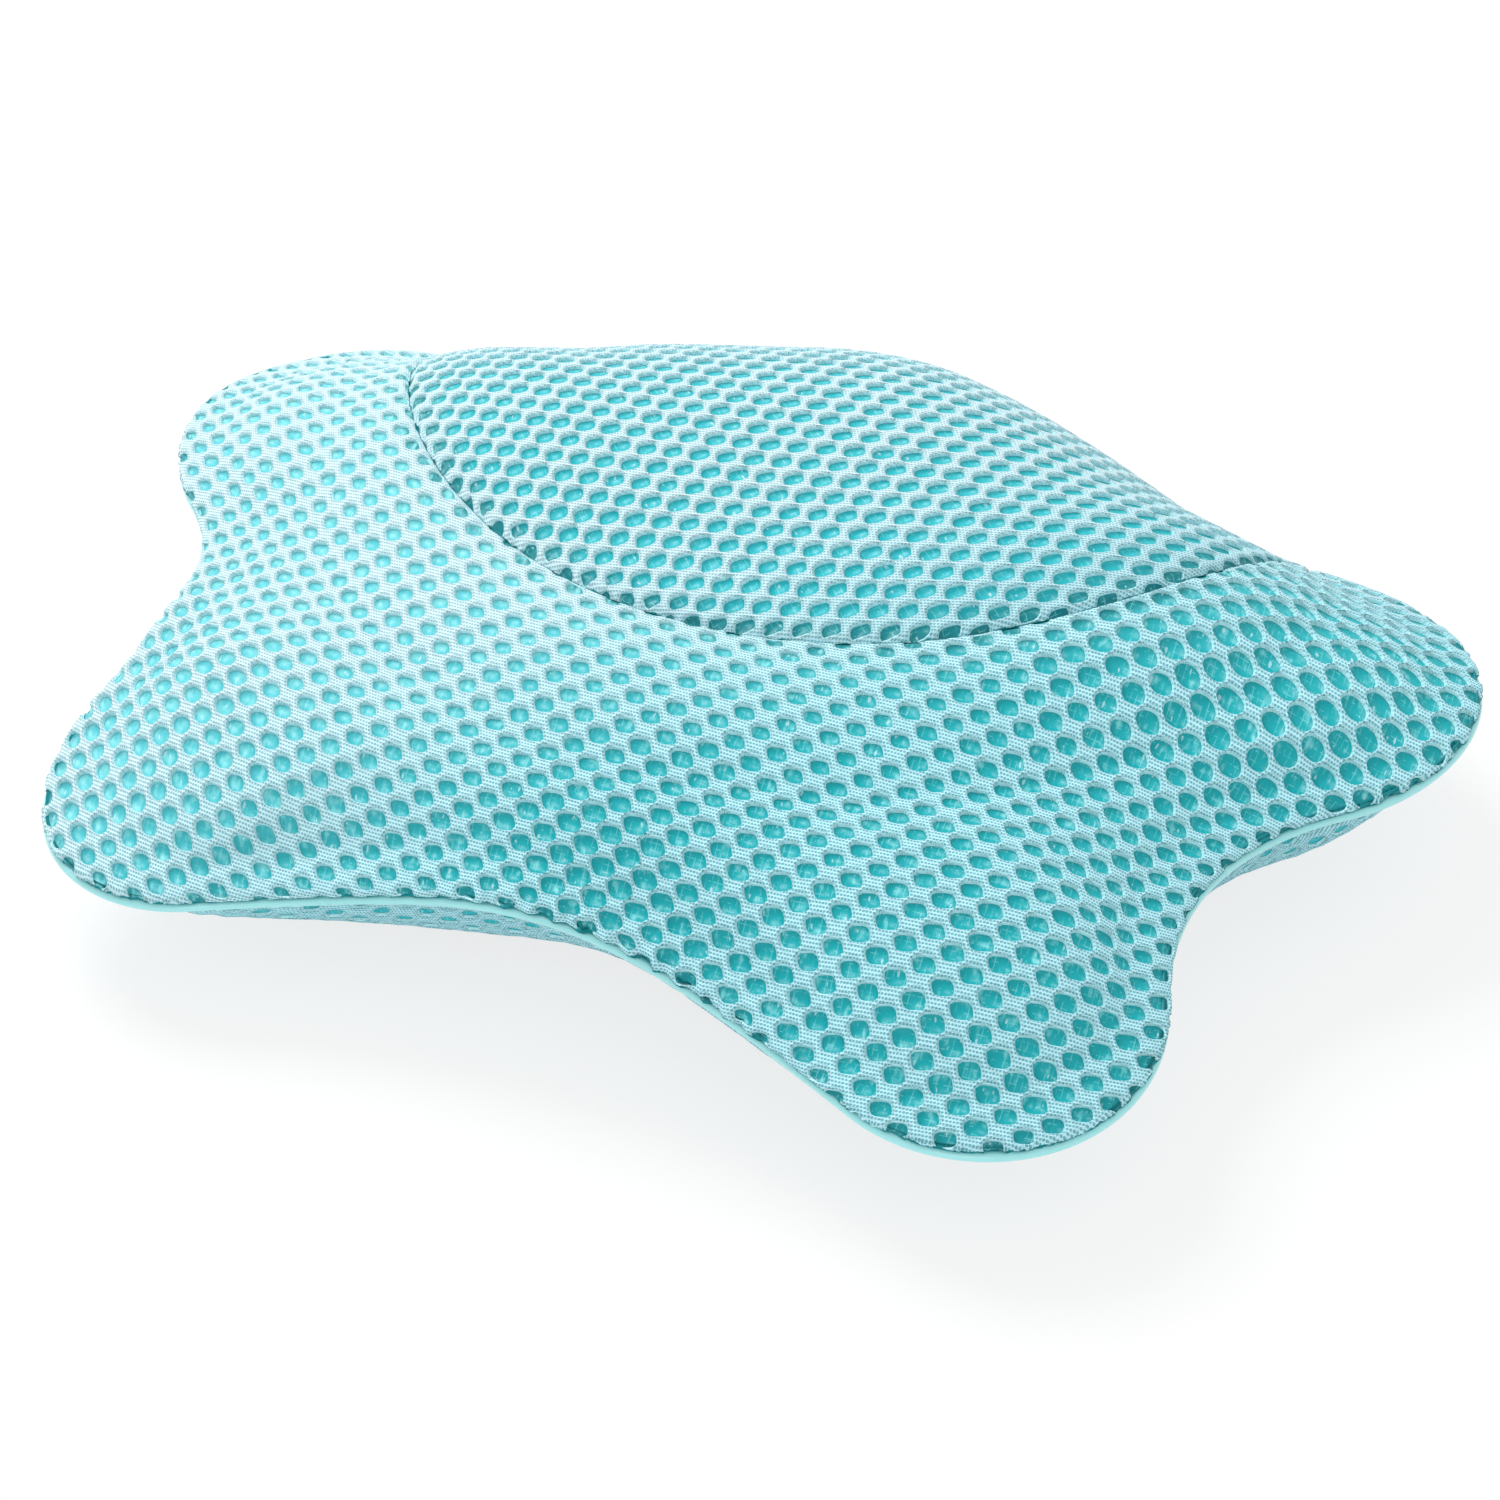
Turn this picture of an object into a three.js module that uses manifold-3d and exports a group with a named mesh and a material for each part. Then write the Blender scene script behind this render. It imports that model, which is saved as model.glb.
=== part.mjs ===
// Bath pillow: a five-lobed star cushion in spacer mesh, edged with piping, on five suction cups.
// Millimetres, +Z up, +Y towards the head lobe, the lips of the cups at z = 0.
import * as THREE from 'three';
import { mergeVertices } from 'three/addons/utils/BufferGeometryUtils.js';
import Module from 'manifold-3d';

const wasm = await Module();
wasm.setup();

// Plan of the star, measured from its middle; the outline runs along the middle of the piping
const HEAD_Y = 78;
const HEAD_R = 77;
const ARM_X = 129;
const ARM_Y = 54;
const ARM_R = 61;
const LEG_X = 108;
const LEG_Y = -89;
const LEG_R = 43;
const SIDE_NOTCH_R = 72;
const CROTCH_NOTCH_R = 220;
const NECK_NOTCH_R = 19;
const NECK_NOTCH_GAP = 5;
const NECK_NOTCH_ANGLE = 1.745;

// Seam between the round head panel and the body panel
const SEAM_X = -6;
const SEAM_Y = 119;
const SEAM_R = 134;
const SEAM_SPLIT = 0.4;
const SEAM_DIP = 3;
const SEAM_DIP_WIDTH = 9;
const BODY_END_WIDTH = 2;
const TIP_SPLITS = 3;

// Crown of the top, above the piping
const EDGE_RISE = 4;
const DOME_RISE = 27;
const BULGE_RISE = 33;
const BULGE_Y = 78;
const BULGE_R = 146;
const HOLLOW_DEPTH = 9;
const HOLLOW_Y = -3;
const HOLLOW_SPREAD = 58;
const EDGE_ROUND_POWER = 6;
const DOME_POWER = 4;
const FADE_POWER = 4;

// Where the edge is drawn upwards
const CROTCH_LIFT = 15;
const CROTCH_LIFT_SPREAD = 45;
const SIDE_LIFT = 11;
const SIDE_LIFT_SPREAD = 40;
const ARM_LIFT = 18;
const ARM_LIFT_SPREAD = 60;

// Cover, piping and filling
const PANEL_THICKNESS = 4;
const PIPING_R = 2;
const PIPING_WALL = 0.5;
const PIPING_CORD_R = 1;
const FLANGE_WIDTH = 4;
const FLANGE_SLIT = 0.4;
const FIT_GAP = 0.3;
const FILL_EASE = 0.4;
const UNDERSIDE_DROP = 14;
const UNDERSIDE_FLAT_SHARE = 0.75;

// Suction cups, their patches and their places
const CUP_R = 25;
const CUP_LIP_WIDTH = 2;
const CUP_LIP_THICKNESS = 1;
const CUP_HEIGHT = 12;
const CUP_WALL = 2.4;
const CUP_SHOULDER_R = 11;
const NECK_R = 4;
const KNOB_R = 7;
const KNOB_HEIGHT = 4;
const KNOB_EDGE_ROUND = 1;
const TAB_LENGTH = 8;
const TAB_WIDTH = 9;
const TAB_THICKNESS = 1.2;
const TAB_ROOT = 1.5;
const PATCH_R = 21;
const PATCH_THICKNESS = 1.5;
const PATCH_EDGE_ROUND = 0.5;
const NECK_CLEARANCE = 0.4;
const HEAD_CUP_Y = 85;
const ARM_CUP_X = 112;
const ARM_CUP_Y = 44;
const LEG_CUP_X = 88;
const LEG_CUP_Y = -52;

// Fineness of the faces
const OUTLINE_STEP = 17;
const ARC_STEP_ANGLE = 0.4;
const ROUND_SIDES = 20;
const CORD_SIDES = 6;
const HEAD_RING_SHARES = [0.35, 0.62, 0.82, 0.94, 1];
const BODY_RING_SHARES = [0, 0.14, 0.45, 0.76, 0.93, 1];
const UNDERSIDE_RING_SHARES = [0, 0.45, 0.75, 0.93, 1];

// Heights that follow from the pieces stacked under the pillow
const patchBottomZ = CUP_HEIGHT + FIT_GAP;
const panelBottomZ = patchBottomZ + PATCH_THICKNESS + FIT_GAP;
const panelInsideZ = panelBottomZ + PANEL_THICKNESS;
const knobBottomZ = panelInsideZ + FIT_GAP;
const knobTopZ = knobBottomZ + KNOB_HEIGHT;
const pipingZ = panelBottomZ + UNDERSIDE_DROP;
const flangeHalf = PIPING_WALL + FLANGE_SLIT / 2;
const panelRimOffset = flangeHalf + FIT_GAP;
const panelOuterInset = PIPING_R + FIT_GAP;
const panelInnerInset = panelOuterInset + PANEL_THICKNESS;

const cloth = new THREE.MeshStandardMaterial({ color: 0xb4e6ea, roughness: 0.85, metalness: 0 });
const underCloth = new THREE.MeshStandardMaterial({ color: 0x8fd6dc, roughness: 0.85, metalness: 0 });
const glossyVinyl = new THREE.MeshStandardMaterial({ color: 0x6fcfd2, roughness: 0.25, metalness: 0 });
const corePolymer = new THREE.MeshStandardMaterial({ color: 0xd8eef0, roughness: 0.6, metalness: 0 });
const fibre = new THREE.MeshStandardMaterial({ color: 0x39b3bb, roughness: 0.9, metalness: 0 });
const clearVinyl = new THREE.MeshStandardMaterial({ color: 0xcfe9ea, roughness: 0.15, metalness: 0 });
const patchVinyl = new THREE.MeshStandardMaterial({ color: 0x57bfc4, roughness: 0.4, metalness: 0 });

// Outline: lobe circles and notch circles in turn, joined by straight tangents
function mirrored(circle) {
  return { x: -circle.x, y: circle.y, r: circle.r, turn: circle.turn };
}

function notchTouching(from, to, radius) {
  const apart = Math.hypot(to.x - from.x, to.y - from.y);
  const along = { x: (to.x - from.x) / apart, y: (to.y - from.y) / apart };
  const reach = from.r + radius;
  const run = (reach ** 2 - (to.r + radius) ** 2 + apart ** 2) / (2 * apart);
  const out = Math.sqrt(Math.max(reach ** 2 - run ** 2, 0));
  return {
    x: from.x + along.x * run - along.y * out,
    y: from.y + along.y * run + along.x * out,
    r: radius,
    turn: -1,
  };
}

const headLobe = { x: 0, y: HEAD_Y, r: HEAD_R, turn: 1 };
const armLobe = { x: ARM_X, y: ARM_Y, r: ARM_R, turn: 1 };
const legLobe = { x: LEG_X, y: LEG_Y, r: LEG_R, turn: 1 };
const sideNotch = notchTouching(armLobe, legLobe, SIDE_NOTCH_R);
const crotchNotch = notchTouching(legLobe, mirrored(legLobe), CROTCH_NOTCH_R);
const neckReach = ARM_R + NECK_NOTCH_R + NECK_NOTCH_GAP;
const neckNotch = {
  x: ARM_X + neckReach * Math.cos(NECK_NOTCH_ANGLE),
  y: ARM_Y + neckReach * Math.sin(NECK_NOTCH_ANGLE),
  r: NECK_NOTCH_R,
  turn: -1,
};
const starCircles = [
  armLobe, neckNotch, headLobe, mirrored(neckNotch), mirrored(armLobe),
  mirrored(sideNotch), mirrored(legLobe), crotchNotch, legLobe, sideNotch,
];

function tangentBetween(from, to) {
  const dx = to.x - from.x;
  const dy = to.y - from.y;
  const lean = (to.turn * to.r - from.turn * from.r) / Math.hypot(dx, dy);
  const heading = Math.atan2(dy, dx) - Math.asin(THREE.MathUtils.clamp(lean, -1, 1));
  const normal = { x: -Math.sin(heading), y: Math.cos(heading) };
  return {
    heading,
    start: { x: from.x - from.turn * from.r * normal.x, y: from.y - from.turn * from.r * normal.y },
    end: { x: to.x - to.turn * to.r * normal.x, y: to.y - to.turn * to.r * normal.y },
  };
}

// Each outline point keeps its outward normal, so an inset outline is an exact parallel
function makeOutline() {
  const points = [];
  starCircles.forEach((circle, index) => {
    const before = starCircles.at(index - 1);
    const after = starCircles[(index + 1) % starCircles.length];
    const arriving = tangentBetween(before, circle);
    const leaving = tangentBetween(circle, after);
    const turnBy = circle.turn * THREE.MathUtils.euclideanModulo(
      circle.turn * (leaving.heading - arriving.heading), 2 * Math.PI);
    const arcLength = Math.abs(turnBy) * circle.r;
    const arcSteps = Math.ceil(Math.max(Math.abs(turnBy) / ARC_STEP_ANGLE, arcLength / OUTLINE_STEP));
    for (let step = 0; step < arcSteps; step += 1) {
      const heading = arriving.heading + (turnBy * step) / arcSteps;
      const normal = { x: Math.sin(heading), y: -Math.cos(heading) };
      points.push({
        x: circle.x + circle.turn * circle.r * normal.x,
        y: circle.y + circle.turn * circle.r * normal.y,
        nx: normal.x,
        ny: normal.y,
      });
    }
    const { start, end, heading } = leaving;
    const straight = Math.hypot(end.x - start.x, end.y - start.y);
    const straightSteps = Math.max(Math.round(straight / OUTLINE_STEP), 1);
    for (let step = 0; step < straightSteps; step += 1) {
      const share = step / straightSteps;
      points.push({
        x: start.x + (end.x - start.x) * share,
        y: start.y + (end.y - start.y) * share,
        nx: Math.sin(heading),
        ny: -Math.cos(heading),
      });
    }
  });
  return points;
}

const outline = makeOutline();
const lowestY = Math.min(...outline.map((point) => point.y));
const highestY = Math.max(...outline.map((point) => point.y));

function insetOutline(inset) {
  return outline.map((point) => ({ x: point.x - inset * point.nx, y: point.y - inset * point.ny }));
}

// Heights of the top and of the underside
function hump(x, y, centreX, centreY, spread) {
  const away = (Math.abs(x) - centreX) ** 2 + (y - centreY) ** 2;
  return Math.exp(-away / (2 * spread ** 2));
}

function edgeLift(x, y) {
  return CROTCH_LIFT * hump(x, y, 0, crotchNotch.y + CROTCH_NOTCH_R, CROTCH_LIFT_SPREAD)
    + SIDE_LIFT * hump(x, y, sideNotch.x - SIDE_NOTCH_R, sideNotch.y, SIDE_LIFT_SPREAD)
    + ARM_LIFT * hump(x, y, ARM_X + ARM_R, ARM_Y, ARM_LIFT_SPREAD);
}

function topZ(x, y, share, lowered, lift) {
  const edge = EDGE_RISE * Math.sqrt(1 - share ** EDGE_ROUND_POWER);
  const dome = (DOME_RISE - lowered) * (1 - share ** DOME_POWER);
  const fromBulge = Math.hypot(x, y - BULGE_Y) / BULGE_R;
  const fade = Math.sqrt(1 - share ** FADE_POWER);
  const bulge = BULGE_RISE * Math.max(1 - fromBulge ** 2, 0) * fade;
  const hollow = HOLLOW_DEPTH * hump(x, y, 0, HOLLOW_Y, HOLLOW_SPREAD) * (1 - share ** FADE_POWER);
  const fromSeam = (Math.hypot(x - SEAM_X, y - SEAM_Y) - SEAM_R) / SEAM_DIP_WIDTH;
  const dip = SEAM_DIP * Math.exp(-(fromSeam ** 2)) * fade;
  return pipingZ + panelRimOffset + lift + edge + dome + bulge - hollow - dip;
}

function undersideZ(edge, share, flatZ) {
  const rimZ = pipingZ - panelRimOffset + edgeLift(edge.x, edge.y);
  const curl = Math.max((share - UNDERSIDE_FLAT_SHARE) / (1 - UNDERSIDE_FLAT_SHARE), 0);
  return flatZ + (rimZ - flatZ) * (1 - Math.sqrt(1 - curl ** 2));
}

// Distance from the middle of the star to the seam circle, towards a point of the outline
function seamDistance(rim) {
  const reach = Math.hypot(rim.x, rim.y);
  const towardsSeam = (rim.x * SEAM_X + rim.y * SEAM_Y) / reach;
  const seamReach = SEAM_R ** 2 - SEAM_X ** 2 - SEAM_Y ** 2;
  return towardsSeam + Math.sqrt(Math.max(towardsSeam ** 2 + seamReach, 0));
}

const bodyColumns = insetOutline(panelInnerInset).map(
  (rim) => Math.hypot(rim.x, rim.y) - seamDistance(rim) > BODY_END_WIDTH);

function seamShare(rim, column) {
  return bodyColumns[column] ? seamDistance(rim) / Math.hypot(rim.x, rim.y) : 1;
}

// Surfaces are grids of points: a ring for each share, a column for each outline point.
// A layer has its inset from the outline and its depth under the top. Its ease lowers it, and near
// the rim, where it is steep, draws it in.
function topRing(layer, shareOf) {
  const rims = insetOutline(layer.inset);
  return outline.map((edge, column) => {
    const rim = rims[column];
    const share = shareOf(rim, column);
    const lift = edgeLift(edge.x * share, edge.y * share);
    const x = rim.x * share;
    const y = rim.y * share;
    const drawnIn = layer.ease * share ** EDGE_ROUND_POWER;
    return [
      x - edge.nx * drawnIn,
      y - edge.ny * drawnIn,
      topZ(x, y, share, layer.depth, lift) - layer.ease,
    ];
  });
}

function headRings(layer) {
  return [0, ...HEAD_RING_SHARES].map(
    (ring) => topRing(layer, (rim, column) => ring * seamShare(rim, column)));
}

function bodyRings(layer, split) {
  const rings = BODY_RING_SHARES.map((ring) => topRing(layer, (rim, column) => {
    if (!bodyColumns[column]) {
      return 1;
    }
    const start = (seamDistance(rim) + split) / Math.hypot(rim.x, rim.y);
    return start + (1 - start) * ring;
  }));
  return split > 0 ? withSplitTips(rings, split) : rings;
}

// The body panel runs out to a tip on the rim at each neck notch, clear of the head panel beside it
function withSplitTips(rings, split) {
  const rim = rings.at(-1);
  return rings.map((ring) => ring.map((point, column) => {
    const neighbours = [column - 1, column + 1].map(
      (beside) => THREE.MathUtils.euclideanModulo(beside, outline.length));
    const towards = neighbours.find((beside) => bodyColumns[beside]);
    if (bodyColumns[column] || towards === undefined) {
      return point;
    }
    const step = rim[towards].map((value, axis) => value - rim[column][axis]);
    const share = (TIP_SPLITS * split) / Math.hypot(...step);
    return rim[column].map((value, axis) => value + step[axis] * share);
  }));
}

function undersideRings(inset, flatZ) {
  const rims = insetOutline(inset);
  const shares = UNDERSIDE_RING_SHARES.map(
    (ring) => UNDERSIDE_FLAT_SHARE + (1 - UNDERSIDE_FLAT_SHARE) * ring);
  return [0, ...shares].map((share) => rims.map(
    (rim, column) => [rim.x * share, rim.y * share, undersideZ(outline[column], share, flatZ)]));
}

// Triangles are gathered in a list; a side that has shrunk to nothing is left out
function same(a, b) {
  return a[0] === b[0] && a[1] === b[1] && a[2] === b[2];
}

function addTriangle(list, a, b, c) {
  if (!same(a, b) && !same(b, c) && !same(c, a)) {
    list.push(...a, ...b, ...c);
  }
}

function addQuad(list, a, b, c, d) {
  addTriangle(list, a, b, c);
  addTriangle(list, a, c, d);
}

// Sheets that face up and down are split along the same diagonal, so nested layers stay parallel
function addSheet(list, rings, columns, upwards) {
  for (let ring = 0; ring + 1 < rings.length; ring += 1) {
    for (const [here, next] of columns) {
      const inner = rings[ring][here];
      const outer = rings[ring + 1][next];
      const sides = [rings[ring + 1][here], rings[ring][next]];
      const [first, second] = upwards ? sides : sides.reverse();
      addTriangle(list, inner, first, outer);
      addTriangle(list, inner, outer, second);
    }
  }
}

function addWall(list, upper, lower, columns) {
  for (const [here, next] of columns) {
    addQuad(list, upper[here], lower[here], lower[next], upper[next]);
  }
}

function geometryOf(list) {
  const geometry = new THREE.BufferGeometry();
  geometry.setAttribute('position', new THREE.Float32BufferAttribute(list, 3));
  return mergeVertices(geometry);
}

const allColumns = outline.map((point, column) => [column, (column + 1) % outline.length]);

function discSolid(upper, lower) {
  const list = [];
  addSheet(list, upper, allColumns, true);
  addSheet(list, lower, allColumns, false);
  addWall(list, upper.at(-1), lower.at(-1), allColumns);
  return geometryOf(list);
}

// The body panel is a horseshoe, so it also has a wall along the seam
function horseshoeSolid(upper, lower) {
  const list = [];
  const columns = allColumns.filter(([here, next]) => bodyColumns[here] || bodyColumns[next]);
  addSheet(list, upper, columns, true);
  addSheet(list, lower, columns, false);
  addWall(list, upper.at(-1), lower.at(-1), columns);
  addWall(list, upper[0], lower[0], columns.map(([here, next]) => [next, here]));
  return geometryOf(list);
}

// A closed loop with one section, swept along the outline
function sweptLoop(section) {
  const rings = outline.map((point) => {
    const middleZ = pipingZ + edgeLift(point.x, point.y);
    return section.map(([out, up]) => [point.x + out * point.nx, point.y + out * point.ny, middleZ + up]);
  });
  const list = [];
  for (const [here, next] of allColumns) {
    section.forEach((corner, index) => {
      const after = (index + 1) % section.length;
      addQuad(list, rings[here][index], rings[next][index], rings[next][after], rings[here][after]);
    });
  }
  return geometryOf(list);
}

function arcPoints(radius, startAngle, endAngle, steps) {
  return Array.from({ length: steps + 1 }, (unused, step) => {
    const angle = startAngle + ((endAngle - startAngle) * step) / steps;
    return [radius * Math.cos(angle), radius * Math.sin(angle)];
  });
}

function turned(profile) {
  const geometry = new THREE.LatheGeometry(profile.map(([r, z]) => new THREE.Vector2(r, z)), ROUND_SIDES);
  geometry.rotateX(Math.PI / 2);
  geometry.deleteAttribute('normal');
  geometry.deleteAttribute('uv');
  return withoutSlivers(mergeVertices(geometry));
}

// A profile that meets the axis leaves triangles with two corners in one place
function withoutSlivers(geometry) {
  const index = geometry.index.array;
  const kept = [];
  for (let first = 0; first < index.length; first += 3) {
    const [a, b, c] = index.slice(first, first + 3);
    if (a !== b && b !== c && c !== a) {
      kept.push(a, b, c);
    }
  }
  geometry.setIndex(kept);
  return geometry;
}

// Joins and cuts
function toSolid(geometry) {
  const bare = geometry.clone();
  bare.deleteAttribute('normal');
  bare.deleteAttribute('uv');
  const merged = withoutSlivers(mergeVertices(bare));
  return new wasm.Manifold(new wasm.Mesh({
    numProp: 3,
    vertProperties: new Float32Array(merged.attributes.position.array),
    triVerts: new Uint32Array(merged.index.array),
  }));
}

function toGeometry(solid) {
  const mesh = solid.getMesh();
  const geometry = new THREE.BufferGeometry();
  geometry.setAttribute('position', new THREE.BufferAttribute(new Float32Array(mesh.vertProperties), 3));
  geometry.setIndex(new THREE.BufferAttribute(new Uint32Array(mesh.triVerts), 1));
  return geometry;
}

const cupPlaces = {
  head: [0, HEAD_CUP_Y],
  arm_right: [ARM_CUP_X, ARM_CUP_Y],
  arm_left: [-ARM_CUP_X, ARM_CUP_Y],
  leg_right: [LEG_CUP_X, LEG_CUP_Y],
  leg_left: [-LEG_CUP_X, LEG_CUP_Y],
};

function drilled(geometry, radius, lowZ, highZ) {
  let solid = toSolid(geometry);
  for (const [x, y] of Object.values(cupPlaces)) {
    const drill = new THREE.CylinderGeometry(radius, radius, highZ - lowZ, ROUND_SIDES);
    drill.rotateX(Math.PI / 2);
    drill.translate(x, y, (lowZ + highZ) / 2);
    solid = solid.subtract(toSolid(drill));
  }
  return toGeometry(solid);
}

// Cover panels and filling
const coverOutside = { inset: panelOuterInset, depth: 0, ease: 0 };
const coverInside = { inset: panelInnerInset, depth: PANEL_THICKNESS, ease: 0 };
const fillSurface = { ...coverInside, ease: FILL_EASE };
const headPanelGeometry = discSolid(headRings(coverOutside), headRings(coverInside));
const bodyPanelGeometry = horseshoeSolid(
  bodyRings(coverOutside, SEAM_SPLIT), bodyRings(coverInside, SEAM_SPLIT));
const neckHoleR = NECK_R + NECK_CLEARANCE;
const bottomPanelGeometry = drilled(
  discSolid(undersideRings(panelInnerInset, panelInsideZ), undersideRings(panelOuterInset, panelBottomZ)),
  neckHoleR, panelBottomZ - PATCH_THICKNESS, panelInsideZ + KNOB_HEIGHT);

const fillTop = [...headRings(fillSurface), ...bodyRings(fillSurface, 0).slice(1)];
const fillGeometry = drilled(
  discSolid(fillTop, undersideRings(panelInnerInset + FILL_EASE, knobBottomZ)),
  KNOB_R + NECK_CLEARANCE, panelInsideZ, knobTopZ + FIT_GAP);

// Piping: a folded vinyl strip round a cord, its two flanges lying between the panels
const openingAngle = Math.asin(flangeHalf / PIPING_R);
const boreR = PIPING_R - PIPING_WALL;
const boreAngle = Math.asin(FLANGE_SLIT / 2 / boreR);
const flangeInner = -(PIPING_R + FLANGE_WIDTH);
const pipingSection = [
  [flangeInner, -flangeHalf],
  ...arcPoints(PIPING_R, Math.PI + openingAngle, 3 * Math.PI - openingAngle, CORD_SIDES),
  [flangeInner, flangeHalf],
  [flangeInner, FLANGE_SLIT / 2],
  ...arcPoints(boreR, Math.PI - boreAngle, boreAngle - Math.PI, CORD_SIDES),
  [flangeInner, -FLANGE_SLIT / 2],
];
const cordSection = arcPoints(PIPING_CORD_R, 0, 2 * Math.PI, CORD_SIDES).slice(0, CORD_SIDES);

// Suction cup: a hollow bell on a lip, with a neck, a knob above the cover and a tab for lifting it
function cupProfile() {
  const hollowR = CUP_R - CUP_LIP_WIDTH;
  const hollowTop = CUP_HEIGHT - CUP_WALL;
  return [
    [0, hollowTop],
    [CUP_SHOULDER_R - CUP_WALL, hollowTop - CUP_LIP_THICKNESS],
    [(hollowR + CUP_SHOULDER_R) / 2, hollowTop / 2],
    [hollowR, 0],
    [CUP_R, 0],
    [CUP_R, CUP_LIP_THICKNESS],
    [(CUP_R + CUP_SHOULDER_R) / 2 + CUP_LIP_WIDTH, CUP_HEIGHT / 2],
    [CUP_SHOULDER_R, CUP_HEIGHT - CUP_LIP_THICKNESS],
    [CUP_SHOULDER_R - CUP_LIP_THICKNESS, CUP_HEIGHT],
    [NECK_R, CUP_HEIGHT],
    [NECK_R, knobBottomZ],
    [KNOB_R, knobBottomZ],
    [KNOB_R, knobTopZ - KNOB_EDGE_ROUND],
    [KNOB_R - KNOB_EDGE_ROUND, knobTopZ],
    [0, knobTopZ],
  ];
}

function cupGeometry() {
  const bell = turned(cupProfile());
  const tab = new THREE.BoxGeometry(TAB_LENGTH + TAB_ROOT, TAB_WIDTH, TAB_THICKNESS);
  tab.translate(CUP_R + (TAB_LENGTH - TAB_ROOT) / 2, 0, CUP_LIP_THICKNESS + TAB_THICKNESS / 2);
  const root = new THREE.BoxGeometry(TAB_ROOT, TAB_WIDTH, CUP_LIP_THICKNESS + TAB_THICKNESS);
  root.translate(CUP_R - TAB_ROOT / 2, 0, (CUP_LIP_THICKNESS + TAB_THICKNESS) / 2);
  return toGeometry(toSolid(bell).add(toSolid(tab)).add(toSolid(root)));
}

function patchGeometry() {
  return turned([
    [neckHoleR, 0],
    [PATCH_R - PATCH_EDGE_ROUND, 0],
    [PATCH_R, PATCH_EDGE_ROUND],
    [PATCH_R, PATCH_THICKNESS],
    [neckHoleR, PATCH_THICKNESS],
    [neckHoleR, 0],
  ]);
}

// The object
const pillow = new THREE.Group();
pillow.position.y = -(lowestY + highestY) / 2;

function addPiece(name, geometry, material) {
  geometry.computeVertexNormals();
  const mesh = new THREE.Mesh(geometry, material);
  mesh.name = name;
  pillow.add(mesh);
  return mesh;
}

addPiece('head_panel', headPanelGeometry, cloth);
addPiece('body_panel', bodyPanelGeometry, cloth);
addPiece('bottom_panel', bottomPanelGeometry, underCloth);
addPiece('fibre_fill', fillGeometry, fibre);
addPiece('piping_cover', sweptLoop(pipingSection), glossyVinyl);
addPiece('piping_cord', sweptLoop(cordSection), corePolymer);

for (const [place, [x, y]] of Object.entries(cupPlaces)) {
  const patch = addPiece(`cup_patch_${place}`, patchGeometry(), patchVinyl);
  patch.position.set(x, y, patchBottomZ);
  const cup = addPiece(`suction_cup_${place}`, cupGeometry(), clearVinyl);
  cup.position.set(x, y, 0);
  cup.rotation.z = Math.atan2(y, x);
}

export default pillow;
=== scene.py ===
"""Star-shaped bath pillow: spacer mesh over fibre filling, vinyl piping, and suction cups under it."""
import math
from collections import namedtuple

import bmesh
import bpy
import numpy as np
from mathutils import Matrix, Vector
from mathutils.bvhtree import BVHTree


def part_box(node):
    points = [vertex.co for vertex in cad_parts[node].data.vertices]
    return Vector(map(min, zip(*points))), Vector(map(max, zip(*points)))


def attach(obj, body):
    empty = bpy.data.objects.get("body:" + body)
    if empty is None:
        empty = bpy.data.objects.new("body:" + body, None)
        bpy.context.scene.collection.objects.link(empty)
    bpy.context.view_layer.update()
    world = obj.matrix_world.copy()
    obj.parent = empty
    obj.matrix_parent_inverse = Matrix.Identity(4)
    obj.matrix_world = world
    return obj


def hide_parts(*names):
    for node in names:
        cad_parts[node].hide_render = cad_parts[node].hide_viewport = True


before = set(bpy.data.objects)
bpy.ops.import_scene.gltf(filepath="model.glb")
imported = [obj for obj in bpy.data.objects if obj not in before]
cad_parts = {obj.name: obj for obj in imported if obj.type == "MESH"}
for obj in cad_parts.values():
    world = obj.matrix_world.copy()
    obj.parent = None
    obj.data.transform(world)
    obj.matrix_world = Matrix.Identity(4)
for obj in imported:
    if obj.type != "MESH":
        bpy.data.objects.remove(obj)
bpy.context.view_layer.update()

MM = 0.001

# Camera, from the photograph
PHOTO_SIZE = 1500
CAMERA_AZIMUTH = 23.9
CAMERA_ELEVATION = 39
CAMERA_DISTANCE = 0.9
CAMERA_PIXELS_PER_RADIAN = 3375
CAMERA_TARGET = (12.3 * MM, -22.7 * MM, 28.1 * MM)
SENSOR_WIDTH = 36

# Plan of the star, measured from its middle; the outline runs along the middle of the piping
HEAD_Y = 78 * MM
HEAD_R = 77 * MM
ARM_X = 129 * MM
ARM_Y = 54 * MM
ARM_R = 61 * MM
LEG_X = 108 * MM
LEG_Y = -89 * MM
LEG_R = 43 * MM
SIDE_NOTCH_R = 72 * MM
CROTCH_NOTCH_R = 220 * MM
NECK_NOTCH_R = 19 * MM
NECK_NOTCH_GAP = 5 * MM
NECK_NOTCH_ANGLE = 1.745

# Seam between the round head panel and the body panel
SEAM_X = -6 * MM
SEAM_Y = 119 * MM
SEAM_R = 134 * MM
SEAM_DIP = 3 * MM
SEAM_DIP_WIDTH = 9 * MM
BODY_END_WIDTH = 0.5 * MM

# Crown of the top, above the piping
EDGE_RISE = 4 * MM
DOME_RISE = 27 * MM
BULGE_RISE = 33 * MM
BULGE_Y = 78 * MM
BULGE_R = 146 * MM
HOLLOW_DEPTH = 9 * MM
HOLLOW_Y = -3 * MM
HOLLOW_SPREAD = 58 * MM
EDGE_ROUND_POWER = 6
DOME_POWER = 4
FADE_POWER = 4
RIM_CLUSTER_POWER = 1.5

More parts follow.
